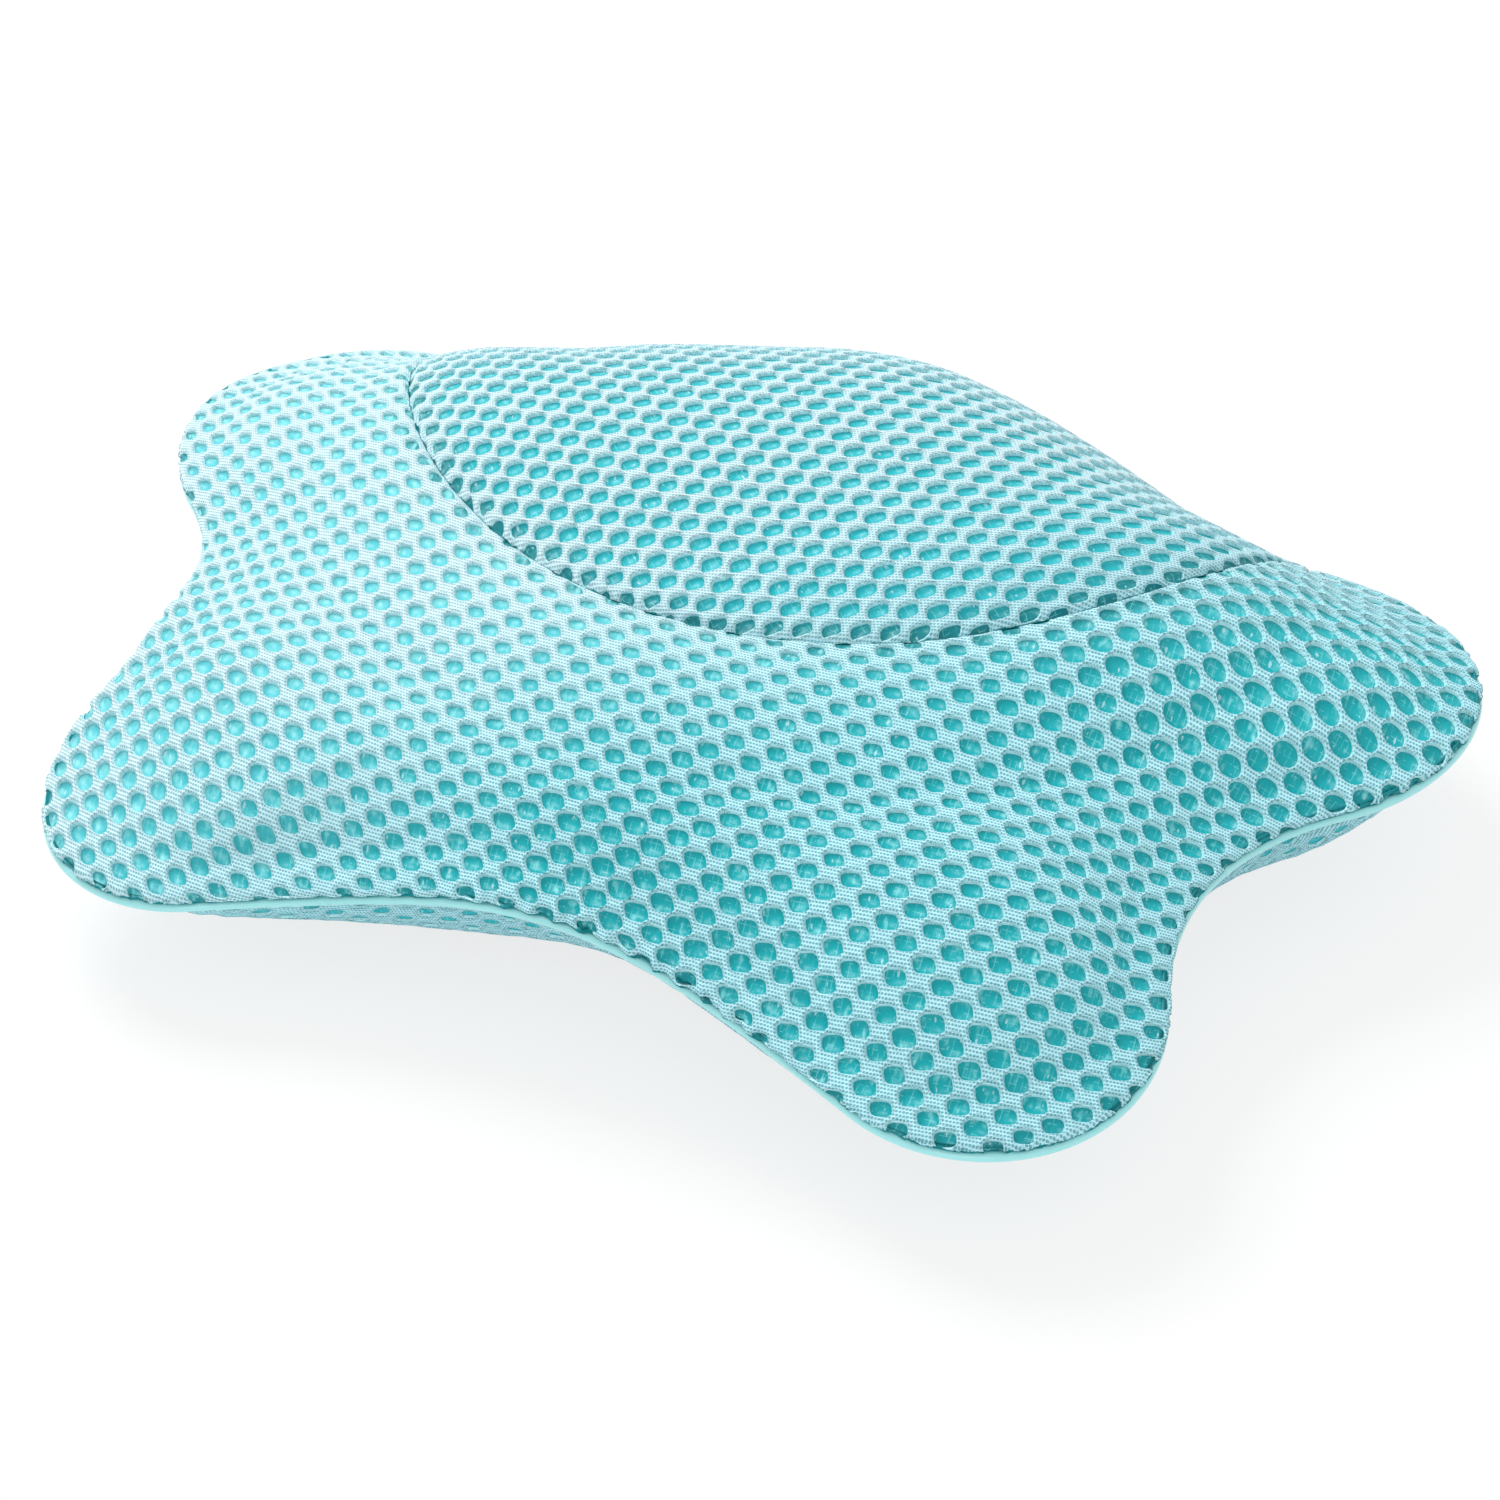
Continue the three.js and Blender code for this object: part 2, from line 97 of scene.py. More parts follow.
# Where the edge is drawn upwards
CROTCH_LIFT = 15 * MM
CROTCH_LIFT_SPREAD = 45 * MM
SIDE_LIFT = 11 * MM
SIDE_LIFT_SPREAD = 40 * MM
ARM_LIFT = 18 * MM
ARM_LIFT_SPREAD = 60 * MM

# Cover, piping and filling
PANEL_THICKNESS = 4 * MM
PIPING_R = 2 * MM
FLANGE_WIDTH = 4 * MM
FLANGE_HALF = 0.7 * MM
FIT_GAP = 0.3 * MM
UNDERSIDE_DROP = 14 * MM
UNDERSIDE_FLAT_SHARE = 0.75
PANEL_RIM_OFFSET = FLANGE_HALF + FIT_GAP
PANEL_INSET = PIPING_R + FIT_GAP
FILL_EASE = 0.4 * MM
FILL_POWER = 16
FILL_INSET = PANEL_INSET + PANEL_THICKNESS + FIT_GAP

# How the cover is rolled into its seam and squeezed at the piping
SEAM_ROLL_DEPTH = 1.8 * MM
SEAM_ROLL_WIDTH = 2 * MM
SEAM_SQUEEZE_WIDTH = 3 * MM
RIM_SQUEEZE_WIDTH = 3 * MM
SQUEEZED_SHARE = 0.3
OVERHANG = 5.2 * MM
OVERHANG_REACH = 12 * MM
GATHER_DEPTH = 1.4 * MM
GATHER_LENGTH = 7.5 * MM
GATHER_REACH = 5 * MM
GATHER_X = 30 * MM
GATHER_Y = -100 * MM
GATHER_SPREAD = 45 * MM
GATHER_DRIFT = 1.3
GATHER_DRIFT_LENGTH = 23 * MM
GATHER_TURNING_POINTS = 25
GATHER_TURNING_GAIN = 60

# Spacer mesh
COURSE_PITCH = 12 * MM
WALE_PITCH = 9 * MM
WELL_ROUNDNESS = 0.56
LEAF_ROUNDNESS = 1.15
LEAF_SIZE = 1.12
WELL_OPEN_SLACK = 0.94
WELL_OPEN_TIGHT = 1.12
WELL_OPEN_FROM = 20 * MM
WELL_OPEN_TO = 120 * MM
WELL_OPEN_RIM = 0.78
WELL_OPEN_SEAM = 0.92
KNIT_COURSE = 1 * MM
KNIT_WALE = 0.9 * MM
RIM_GATHER = 4 * MM
RIM_GATHER_REACH = 8 * MM
PINCH_REACH = 9 * MM
# Width and strength of the painted shade in the crease at the seam and at the rim
SEAM_TUCK_SHADE_WIDTH = 1.6 * MM
RIM_TUCK_SHADE = 1.8
RIM_TUCK_SHADE_WIDTH = 3.5 * MM

# A distance from the seam that is past all its effects, for the panel that has none
SEAMLESS = 1.0

# Filling pressed into the cover by a cloth simulation
SWELL = 1 * MM
SWELL_CAP = 1.5 * MM
SWELL_SMOOTHING = 25
COVER_SLACK = 0.003
SIMULATION_VOXEL = 6 * MM
SIMULATION_FRAMES = 20
SIMULATION_PRESSURE = 4
SIMULATION_FADE = 14 * MM
SIMULATION_COLUMN_STEP = 4
SIMULATION_HELD_RIM = 6 * MM
SIMULATION_HELD_SEAM = 5 * MM
SWELL_SEARCH = 30 * MM
CLOTH_SETTINGS = {
    "quality": 5, "mass": 0.3, "tension_stiffness": 15, "compression_stiffness": 15,
    "shear_stiffness": 5, "bending_stiffness": 0.5, "shrink_min": -COVER_SLACK, "use_pressure": True,
    "uniform_pressure_force": SIMULATION_PRESSURE, "vertex_group_mass": "held"}

# Fineness
OUTLINE_COLUMNS = 480
HEAD_RINGS = 36
BODY_RINGS = 40
UNDER_RINGS = 40
CUSHION_RINGS = 24
SWEEP_COLUMNS = 900
LENGTH_STEPS = 160
EASING_RINGS = 46
EASING_COLUMN_STEP = 5
EASING_ROUNDS = 2500
EASING_STEP = 0.22
WELD_DISTANCE = 0.01 * MM
MIDDLE_SIZE = 1 * MM

under_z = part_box("bottom_panel")[0].z
piping_z = under_z + UNDERSIDE_DROP
HEAD_CUP_Y = 85 * MM
head_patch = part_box("cup_patch_head")
plan_shift_y = (head_patch[0].y + head_patch[1].y) / 2 - HEAD_CUP_Y

Circle = namedtuple("Circle", "x y r turn")
Outline = namedtuple("Outline", "x y nx ny")
Pull = namedtuple("Pull", "x y reach right back up")
Lay = namedtuple("Lay", "course wale turn shear fan bow phase_x phase_y")

# How the mesh lies on each panel: its pitch as stretched, its turn in radians, its shear, how its rows
# fan out and bow per metre, and its phase in wells
BODY_LAY = Lay(11.5 * MM, 9.54 * MM, 0.147, 0.147, -0.22, -0.78, -3.61, 5.67)
HEAD_LAY = Lay(12.37 * MM, 7.5 * MM, 0.82, 0.058, -0.39, -1.41, -2.87, -2.69)
UNDER_LAY = Lay(COURSE_PITCH, WALE_PITCH, 0, 0, 0, 0, 0, 0)

# A place where the mesh is stretched along its wales and leans: how far round it that reaches, and the
# shares it stretches and leans by
Stretch = namedtuple("Stretch", "x y reach share lean")
RIGHT_ARM_STRETCH = Stretch(155 * MM, 36 * MM, 48 * MM, 0.27, 0.3)

# A well on each panel: the reach of its two axes, the way each points on the flat mesh in radians, and
# its depth
Well = namedtuple("Well", "across across_turn along along_turn depth")
BODY_WELL = Well(2.75 * MM, 0.18, 2.25 * MM, 2.0, 1.1 * MM)
HEAD_WELL = Well(2.95 * MM, -0.15, 2.85 * MM, 1.3, 1.3 * MM)
UNDER_WELL = Well(2.7 * MM, 0, 2.3 * MM, 1.57, 1.1 * MM)

# Where the wells are drawn open further: a place, how far round it that reaches, and the share added
Opening = namedtuple("Opening", "x y reach share")
OPENINGS = [Opening(150 * MM, 50 * MM, 45 * MM, 0.17), Opening(10 * MM, -98 * MM, 30 * MM, 0.34),
            Opening(-140 * MM, -85 * MM, 38 * MM, 0.24)]

# Where the wells are drawn from rounded squares into leaf shapes
LEAVES = [Opening(155 * MM, 45 * MM, 42 * MM, 0.9), Opening(-140 * MM, -85 * MM, 38 * MM, 0.8)]


def pulls_from(rows):
    """Where the stuffed cover sits off its pattern, in millimetres: a place, how far round it that
    reaches, and how far the cover is pulled to the right, to the back and up."""
    return [Pull(*[value * MM for value in row]) for row in rows.values()]


EDGE_PULLS = pulls_from({
    "left_leg_flank": (-150, -95, 26, 2.5, 0.6, 0),
    "right_arm_back": (175, 85, 32, -1.3, -1.7, -0.6),
    "right_shoulder": (150, 108, 22, 0, -1, -0.6),
    "right_leg_front": (120, -125, 35, -0.5, 1.4, 0),
    "right_leg_inside": (78, -120, 20, -0.2, -0.6, 0),
    "left_arm_back": (-182, 80, 24, 0, -1.5, -2.5),
})
TOP_PULLS = pulls_from({
    "left_waist": (-144, -45, 20, -4, 0, 3),
    "head_left": (-70, 98, 28, 0, 0, 2.6),
    "head_right": (45, 115, 30, 0, 0, 3.7),
    "right_neck": (107, 97, 20, 0, 0, -1.6),
})
UNDER_PULLS = pulls_from({
    "crotch": (15, -100, 21, 0, 0, 6),
    "right_arm": (184, 26, 18, 0, 0, 5.5),
    "left_leg": (-118, -130, 22, 0, 0, 3.5),
})
TOP_PULL_FADE = 5 * MM
UNDER_PULL_FADE = 9 * MM


# Plan and heights, as in the frame

def mirrored(circle):
    return circle._replace(x=-circle.x)


def notch_touching(start, end, radius):
    apart = math.hypot(end.x - start.x, end.y - start.y)
    along = ((end.x - start.x) / apart, (end.y - start.y) / apart)
    reach = start.r + radius
    run = (reach ** 2 - (end.r + radius) ** 2 + apart ** 2) / (2 * apart)
    out = math.sqrt(max(reach ** 2 - run ** 2, 0))
    x = start.x + along[0] * run - along[1] * out
    y = start.y + along[1] * run + along[0] * out
    return Circle(x, y, radius, -1)


head_lobe = Circle(0, HEAD_Y, HEAD_R, 1)
arm_lobe = Circle(ARM_X, ARM_Y, ARM_R, 1)
leg_lobe = Circle(LEG_X, LEG_Y, LEG_R, 1)
side_notch = notch_touching(arm_lobe, leg_lobe, SIDE_NOTCH_R)
crotch_notch = notch_touching(leg_lobe, mirrored(leg_lobe), CROTCH_NOTCH_R)
neck_reach = ARM_R + NECK_NOTCH_R + NECK_NOTCH_GAP
neck_notch = Circle(ARM_X + neck_reach * math.cos(NECK_NOTCH_ANGLE),
                    ARM_Y + neck_reach * math.sin(NECK_NOTCH_ANGLE), NECK_NOTCH_R, -1)
star_circles = [head_lobe, mirrored(neck_notch), mirrored(arm_lobe), mirrored(side_notch),
                mirrored(leg_lobe), crotch_notch, leg_lobe, side_notch, arm_lobe, neck_notch]


def tangent_heading(start, end):
    dx, dy = end.x - start.x, end.y - start.y
    lean = (end.turn * end.r - start.turn * start.r) / math.hypot(dx, dy)
    return math.atan2(dy, dx) - math.asin(min(max(lean, -1), 1))


def make_outline(columns):
    """Points along the middle of the piping, evenly spaced from the top of the head lobe, with normals."""
    corners = []
    for index, circle in enumerate(star_circles):
        arriving = tangent_heading(star_circles[index - 1], circle)
        leaving = tangent_heading(circle, star_circles[(index + 1) % len(star_circles)])
        turn_by = circle.turn * ((circle.turn * (leaving - arriving)) % (2 * math.pi))
        heading = arriving + turn_by * np.linspace(0, 1, columns)
        normal = np.stack([np.sin(heading), -np.cos(heading)], 1)
        centre = np.array([circle.x, circle.y])
        corners.append(np.hstack([centre + circle.turn * circle.r * normal, normal]))
    points = np.vstack(corners)
    top = np.argmax(points[:, 1])
    points = np.roll(points, -top, axis=0)
    points = np.vstack([points, points[:1]])
    length = np.concatenate([[0], np.cumsum(np.hypot(*np.diff(points[:, :2], axis=0).T))])
    wanted = np.linspace(0, length[-1], columns, endpoint=False)
    return Outline(*[np.interp(wanted, length, column) for column in points.T])


def nearness(x, y, centre_x, centre_y, reach):
    """1 at a place, and less the further from it."""
    return np.exp(-((x - centre_x) ** 2 + (y - centre_y) ** 2) / (2 * reach ** 2))


def hump(x, y, centre_x, centre_y, spread):
    """Nearness to a place or its mirror image."""
    return nearness(np.abs(x), y, centre_x, centre_y, spread)


def edge_lift(x, y):
    return (CROTCH_LIFT * hump(x, y, 0, crotch_notch.y + CROTCH_NOTCH_R, CROTCH_LIFT_SPREAD)
            + SIDE_LIFT * hump(x, y, side_notch.x - SIDE_NOTCH_R, side_notch.y, SIDE_LIFT_SPREAD)
            + ARM_LIFT * hump(x, y, ARM_X + ARM_R, ARM_Y, ARM_LIFT_SPREAD))


def from_seam(x, y):
    """Distance from the seam circle in plan, positive on the body's side."""
    return np.hypot(x - SEAM_X, y - SEAM_Y) - SEAM_R


def top_z(x, y, share, lift):
    edge = EDGE_RISE * np.sqrt(1 - share ** EDGE_ROUND_POWER)
    dome = DOME_RISE * (1 - share ** DOME_POWER)
    from_bulge = np.hypot(x, y - BULGE_Y) / BULGE_R
    fade = np.sqrt(1 - share ** FADE_POWER)
    bulge = BULGE_RISE * np.maximum(1 - from_bulge ** 2, 0) * fade
    hollow = HOLLOW_DEPTH * hump(x, y, 0, HOLLOW_Y, HOLLOW_SPREAD) * fade ** 2
    dip = SEAM_DIP * np.exp(-(from_seam(x, y) / SEAM_DIP_WIDTH) ** 2) * fade
    return piping_z + PANEL_RIM_OFFSET + lift + edge + dome + bulge - hollow - dip


outline = make_outline(OUTLINE_COLUMNS)
rim_outward = np.stack([outline.nx, outline.ny, 0 * outline.nx], -1)


def inset_rim(inset):
    return outline.x - inset * outline.nx, outline.y - inset * outline.ny


def seam_distance(rim_x, rim_y):
    """Distance from the middle of the star to the seam, towards each point of the rim."""
    towards = (rim_x * SEAM_X + rim_y * SEAM_Y) / np.hypot(rim_x, rim_y)
    return towards + np.sqrt(np.maximum(towards ** 2 + SEAM_R ** 2 - SEAM_X ** 2 - SEAM_Y ** 2, 0))


def top_surface(shares, inset=PANEL_INSET):
    """Points of the crown in the star's own frame, for a share of the way to the rim per ring and column."""
    rim_x, rim_y = inset_rim(inset)
    x, y = rim_x * shares, rim_y * shares
    z = top_z(x, y, shares, edge_lift(outline.x * shares, outline.y * shares))
    return np.stack([x, y, z], -1)


def under_surface(shares, inset=PANEL_INSET, flat_z=under_z):
    rim_x, rim_y = inset_rim(inset)
    rim_z = piping_z - PANEL_RIM_OFFSET + edge_lift(outline.x, outline.y)
    curl = np.maximum((shares - UNDERSIDE_FLAT_SHARE) / (1 - UNDERSIDE_FLAT_SHARE), 0)
    z = flat_z + (rim_z - flat_z) * (1 - np.sqrt(1 - curl ** 2))
    return np.stack([rim_x * shares, rim_y * shares, z], -1)


def even_shares(rings):
    return np.linspace(0, 1, rings)[:, None] * np.ones(OUTLINE_COLUMNS)


def lengths_of(surface):
    steps = np.linalg.norm(np.diff(surface, axis=0), axis=-1)
    return np.vstack([np.zeros(OUTLINE_COLUMNS), np.cumsum(steps, 0)])


def overhung(surface, to_rim):
    """The stuffed cover bulges out over its piping."""
    out = OVERHANG * np.sin(math.pi * np.sqrt(np.clip(to_rim / OVERHANG_REACH, 0, 1)))
    return surface + out[..., None] * rim_outward


def rim_clustered(even):
    """Shares of the way to the rim that lie closer together near it."""
    return 1 - (1 - even) ** RIM_CLUSTER_POWER


fine_shares = rim_clustered(even_shares(LENGTH_STEPS))
top_lengths = lengths_of(top_surface(fine_shares))
overhung_lengths = lengths_of(overhung(top_surface(fine_shares), top_lengths[-1] - top_lengths))
under_lengths = lengths_of(under_surface(fine_shares))


def length_at(shares, lengths):
    """Length over a surface from the star's middle to each share."""
    columns = zip(shares.T, lengths.T)
    return np.stack([np.interp(share, fine_shares[:, 0], length) for share, length in columns], 1)


def smooth_step(value):
    value = np.clip(value, 0, 1)
    return value * value * (3 - 2 * value)


def towards_rim(lengths):
    """Flat points at the given distances from the star's middle, one column for each point of the rim."""
    rim_x, rim_y = inset_rim(PANEL_INSET)
    reach = np.hypot(rim_x, rim_y)
    return np.stack([lengths * rim_x / reach, lengths * rim_y / reach], -1)


def eased_flat():
    """How far the flat top shifts for its neighbouring points to lie as far apart as on the crown."""
    shares = rim_clustered(np.linspace(0, 1, EASING_RINGS)[:, None]) * np.ones(OUTLINE_COLUMNS)
    lengths = length_at(shares, overhung_lengths)
    to_rim = top_lengths[-1] - length_at(shares, top_lengths)
    crown = overhung(top_surface(shares), to_rim)[:, ::EASING_COLUMN_STEP]
    start = towards_rim(lengths)[:, ::EASING_COLUMN_STEP]
    flat = start.copy()
    ties = []
    for ring_step, column_step in ((1, 0), (0, 1), (1, 1), (1, -1)):
        apart = np.roll(crown, (-ring_step, -column_step), (0, 1)) - crown
        ties.append((ring_step, column_step, np.linalg.norm(apart, axis=-1)))
    for _ in range(EASING_ROUNDS):
        move = np.zeros_like(flat)
        for ring_step, column_step, apart in ties:
            gap = np.roll(flat, (-ring_step, -column_step), (0, 1)) - flat
            share = 1 - apart / np.maximum(np.linalg.norm(gap, axis=-1), 1e-9)
            push = gap * share[..., None] / 2
            push[len(push) - ring_step:] = 0
            move += push - np.roll(push, (ring_step, column_step), (0, 1))
        flat += move * EASING_STEP
    return flat - start


def between_points(grid, shares):
    """The values of a coarse grid at the share of every ring and column."""
    even = 1 - (1 - np.minimum(shares, 1)) ** (1 / RIM_CLUSTER_POWER)
    ring = np.clip(even * (len(grid) - 1), 0, len(grid) - 1.001)
    low = ring.astype(int)
    column = np.arange(OUTLINE_COLUMNS) / EASING_COLUMN_STEP
    left = column.astype(int)
    right = (left + 1) % grid.shape[1]
    across = (column - left)[:, None]
    lower = grid[low, left] * (1 - across) + grid[low, right] * across
    upper = grid[low + 1, left] * (1 - across) + grid[low + 1, right] * across
    onwards = (ring - low)[..., None]
    return lower * (1 - onwards) + upper * onwards


def knit_position(length, lay, shift):
    """Where each point lies on the flat mesh, with every well at a whole or a half pitch."""
    x, y = np.moveaxis(towards_rim(length) + shift, -1, 0)
    fanned = x + lay.fan * x * y
    bowed = y + lay.bow * x * x
    across = math.cos(lay.turn) * fanned + math.sin(lay.turn) * bowed
    along = math.cos(lay.turn) * bowed - math.sin(lay.turn) * fanned + lay.shear * across
    if lay is BODY_LAY:
        spot = RIGHT_ARM_STRETCH
        near = nearness(x, y, *spot[:3])
        along = along - near * (spot.share * (y - spot.y) - spot.lean * (x - spot.x))
    flat_x = (across / lay.course + lay.phase_x) * COURSE_PITCH
    flat_y = (along / lay.wale + lay.phase_y) * WALE_PITCH
    return np.stack([flat_x, flat_y, np.zeros_like(flat_x)], -1)


# Meshes from grids of points

def to_row(points):
    return points + np.array([0, plan_shift_y, 0])


def pulled(points, pulls):
    moved = points.copy()
    for pull in pulls:
        near = nearness(points[..., 0], points[..., 1], *pull[:3])
        moved += near[..., None] * [pull.right, pull.back, pull.up]
    return moved


def pulled_inside(points, to_rim, pulls, fade):
    """The cover, which follows the piping at its rim and is drawn aside in places inside it."""
    aside = pulled(points, pulls) - points
    return pulled(points, EDGE_PULLS) + aside * smooth_step(to_rim / fade)[..., None]


def meets_in_middle(points):
    return np.ptp(points[0], axis=0).max() < MIDDLE_SIZE


def outward_of(points, closed):
    """Normals of a grid whose rings run outwards and whose columns run anticlockwise."""
    along_ring = np.roll(points, -1, 1) - np.roll(points, 1, 1)
    if not closed:
        along_ring[:, 0] = points[:, 1] - points[:, 0]
        along_ring[:, -1] = points[:, -1] - points[:, -2]
    outwards = np.gradient(points, axis=0)
    normal = np.cross(outwards, along_ring)
    size = np.linalg.norm(normal, axis=-1, keepdims=True)
    normal = normal / np.maximum(size, 1e-12)
    if meets_in_middle(points):
        middle = normal[1].mean(axis=0)
        normal[0] = middle / np.linalg.norm(middle)
    return normal


def grid_faces(rings, columns, closed, upwards=True):
    ring = np.arange(rings - 1)[:, None] * columns
    here = np.arange(columns if closed else columns - 1)[None]
    after = (here + 1) % columns
    corners = [ring + here, ring + columns + here, ring + columns + after, ring + after]
    faces = np.stack(corners, -1).reshape(-1, 4)
    return faces if upwards else faces[:, ::-1]


def mesh_object(name, points, faces, material=None, **attributes):
    mesh = bpy.data.meshes.new(name)
    mesh.from_pydata(np.asarray(points).reshape(-1, 3).tolist(), [], [list(face) for face in faces])
    for label, values in attributes.items():
        kind = "FLOAT_VECTOR" if values.shape[-1] == 3 else "FLOAT"
        attribute = mesh.attributes.new(label, kind, "POINT")
        attribute.data.foreach_set("vector" if kind == "FLOAT_VECTOR" else "value",
                                   np.ascontiguousarray(values, np.float32).ravel())
    mesh.polygons.foreach_set("use_smooth", [True] * len(mesh.polygons))
    if material:
        mesh.materials.append(material)
    piece = bpy.data.objects.new(name, mesh)
    bpy.context.scene.collection.objects.link(piece)
    return piece


def weld(piece):
    """Joins the points that fall together, such as a ring round the middle."""
    work = bmesh.new()
    work.from_mesh(piece.data)
    bmesh.ops.remove_doubles(work, verts=work.verts, dist=WELD_DISTANCE)
    work.to_mesh(piece.data)
    work.free()


def finished(piece, name):
    """A plain mesh of the evaluated piece, in place of the piece itself."""
    evaluated = piece.evaluated_get(bpy.context.evaluated_depsgraph_get())
    mesh = bpy.data.meshes.new_from_object(evaluated)
    mesh.name = name
    bpy.data.objects.remove(piece)
    made = bpy.data.objects.new(name, mesh)
    bpy.context.scene.collection.objects.link(made)
    return made


# Node graphs: a value that stands for a socket adds its own Math nodes

class Wire:
    def __init__(self, graph, socket):
        self.graph = graph
        self.socket = socket

    def maths(self, operation, *operands):
        return self.graph.add("ShaderNodeMath", {"operation": operation}, dict(enumerate(operands)))

    def __radd__(self, other):
        return self.maths("ADD", other, self)

    def __rsub__(self, other):
        return self.maths("SUBTRACT", other, self)

    def __rmul__(self, other):
        return self.maths("MULTIPLY", other, self)

    def ramp(self, low, high):
        """0 below low, 1 above high, smooth between them; low may be the larger."""
        settings = {"interpolation_type": "SMOOTHSTEP"}
        if low > high:
            values = {"Value": self, 1: high, 2: low, 3: 1.0, 4: 0.0}
        else:
            values = {"Value": self, 1: low, 2: high, 3: 0.0, 4: 1.0}
        return self.graph.add("ShaderNodeMapRange", settings, values)


def wire_method(operation):
    def method(self, *others):
        return self.maths(operation, self, *others)
    return method


WIRE_MATHS = {
    "__add__": "ADD", "__sub__": "SUBTRACT", "__mul__": "MULTIPLY", "__truediv__": "DIVIDE",
    "sine": "SINE", "floor": "FLOOR", "ceil": "CEIL", "rounded": "ROUND",
    "at_least": "MAXIMUM", "at_most": "MINIMUM", "over": "GREATER_THAN"}
for method_name, maths_operation in WIRE_MATHS.items():
    setattr(Wire, method_name, wire_method(maths_operation))


class Graph:
    def __init__(self, tree):
        self.tree = tree

    def link(self, value, socket):
        if isinstance(value, Wire):
            self.tree.links.new(value.socket, socket)
        elif isinstance(value, list):
            for one in value:
                self.link(one, socket)
        else:
            socket.default_value = value

    def add(self, kind, settings=None, values=None, out=0):
        """Adds a node; its settings come first, then the values or links of its sockets."""
        node = self.tree.nodes.new(kind)
        for label, setting in (settings or {}).items():
            setattr(node, label, setting)
        for label, value in (values or {}).items():
            self.link(value, node.inputs[label])
        if isinstance(out, tuple):
            return [Wire(self, node.outputs[label]) for label in out]
        return Wire(self, node.outputs[out]) if len(node.outputs) else node

    def vector_maths(self, operation, *operands):
        return self.add("ShaderNodeVectorMath", {"operation": operation}, dict(enumerate(operands)))

    def scaled(self, vector, share):
        return self.add("ShaderNodeVectorMath", {"operation": "SCALE"}, {0: vector, "Scale": share})

    def combined(self, x, y, z=0.0):
        return self.add("ShaderNodeCombineXYZ", None, {0: x, 1: y, 2: z})

    def parts(self, vector):
        return self.add("ShaderNodeSeparateXYZ", None, {0: vector}, out=("X", "Y", "Z"))


# The knitted mesh: one well, its copies in a lattice, laid over a panel

def well_rim(well, directions, roundness):
    """Points of a well's rim, one in each direction from its middle."""
    turn = np.linspace(0, math.tau, 720, endpoint=False)
    across = np.sign(np.cos(turn)) * np.abs(np.cos(turn)) ** roundness * well.across
    along = np.sign(np.sin(turn)) * np.abs(np.sin(turn)) ** roundness * well.along
    x = math.cos(well.across_turn) * across + math.cos(well.along_turn) * along
    y = math.sin(well.across_turn) * across + math.sin(well.along_turn) * along
    direction = np.arctan2(y, x)
    order = np.argsort(direction)
    reach = np.interp(directions, direction[order], np.hypot(x, y)[order], period=math.tau)
    return np.stack([np.cos(directions), np.sin(directions)], 1) * reach[:, None]


def well_template(name, well, sides, rings):
    """One hexagonal piece of the mesh round a well. Each ring is a share from the piece's edge to the
    well's rim, or past it, and a share of the well's depth."""
    half = np.array([COURSE_PITCH / 2, WALE_PITCH / 2])
    corner_x = (half @ half) / (2 * half[0])
    side_x = (half @ half - 2 * half[1] * half[1]) / (2 * half[0])
    corners = np.array([[corner_x, 0], [side_x, half[1]], [-side_x, half[1]],
                        [-corner_x, 0], [-side_x, -half[1]], [side_x, -half[1]]])
    per_side = sides // 6
    steps = np.arange(per_side)[:, None] / per_side
    edge = np.vstack([corners[i] + (corners[(i + 1) % 6] - corners[i]) * steps for i in range(6)])
    directions = np.arctan2(edge[:, 1], edge[:, 0])
    rim = well_rim(well, directions, WELL_ROUNDNESS)
    to_leaf = well_rim(well, directions, LEAF_ROUNDNESS) * LEAF_SIZE - rim
    points, leaf = [], []
    for share, depth in rings:
        ring = edge + (rim - edge) * share if share <= 1 else rim * (2 - share)
        points.append(np.hstack([ring, np.full((len(ring), 1), -depth)]))
        leaf.append(np.hstack([to_leaf * min(share, 2 - share), np.zeros((len(ring), 1))]))
    count = len(edge)
    flat = np.vstack(points + [[[0, 0, -rings[-1][1]]]])
    ring_share = np.append(np.repeat([share for share, _ in rings], count), 2.0)
    faces = np.roll(grid_faces(len(rings), count, True, upwards=False), 1, axis=1).tolist()
    last, middle = (len(rings) - 1) * count, len(rings) * count
    faces += [[last + here, last + (here + 1) % count, middle] for here in range(count)]
    leaf = np.vstack(leaf + [[[0, 0, 0]]])
    piece = mesh_object(name, flat * [1, 1, well.depth], faces, ring=ring_share[:, None], leaf=leaf)
    piece.hide_render = True
    piece.hide_viewport = True
    return piece


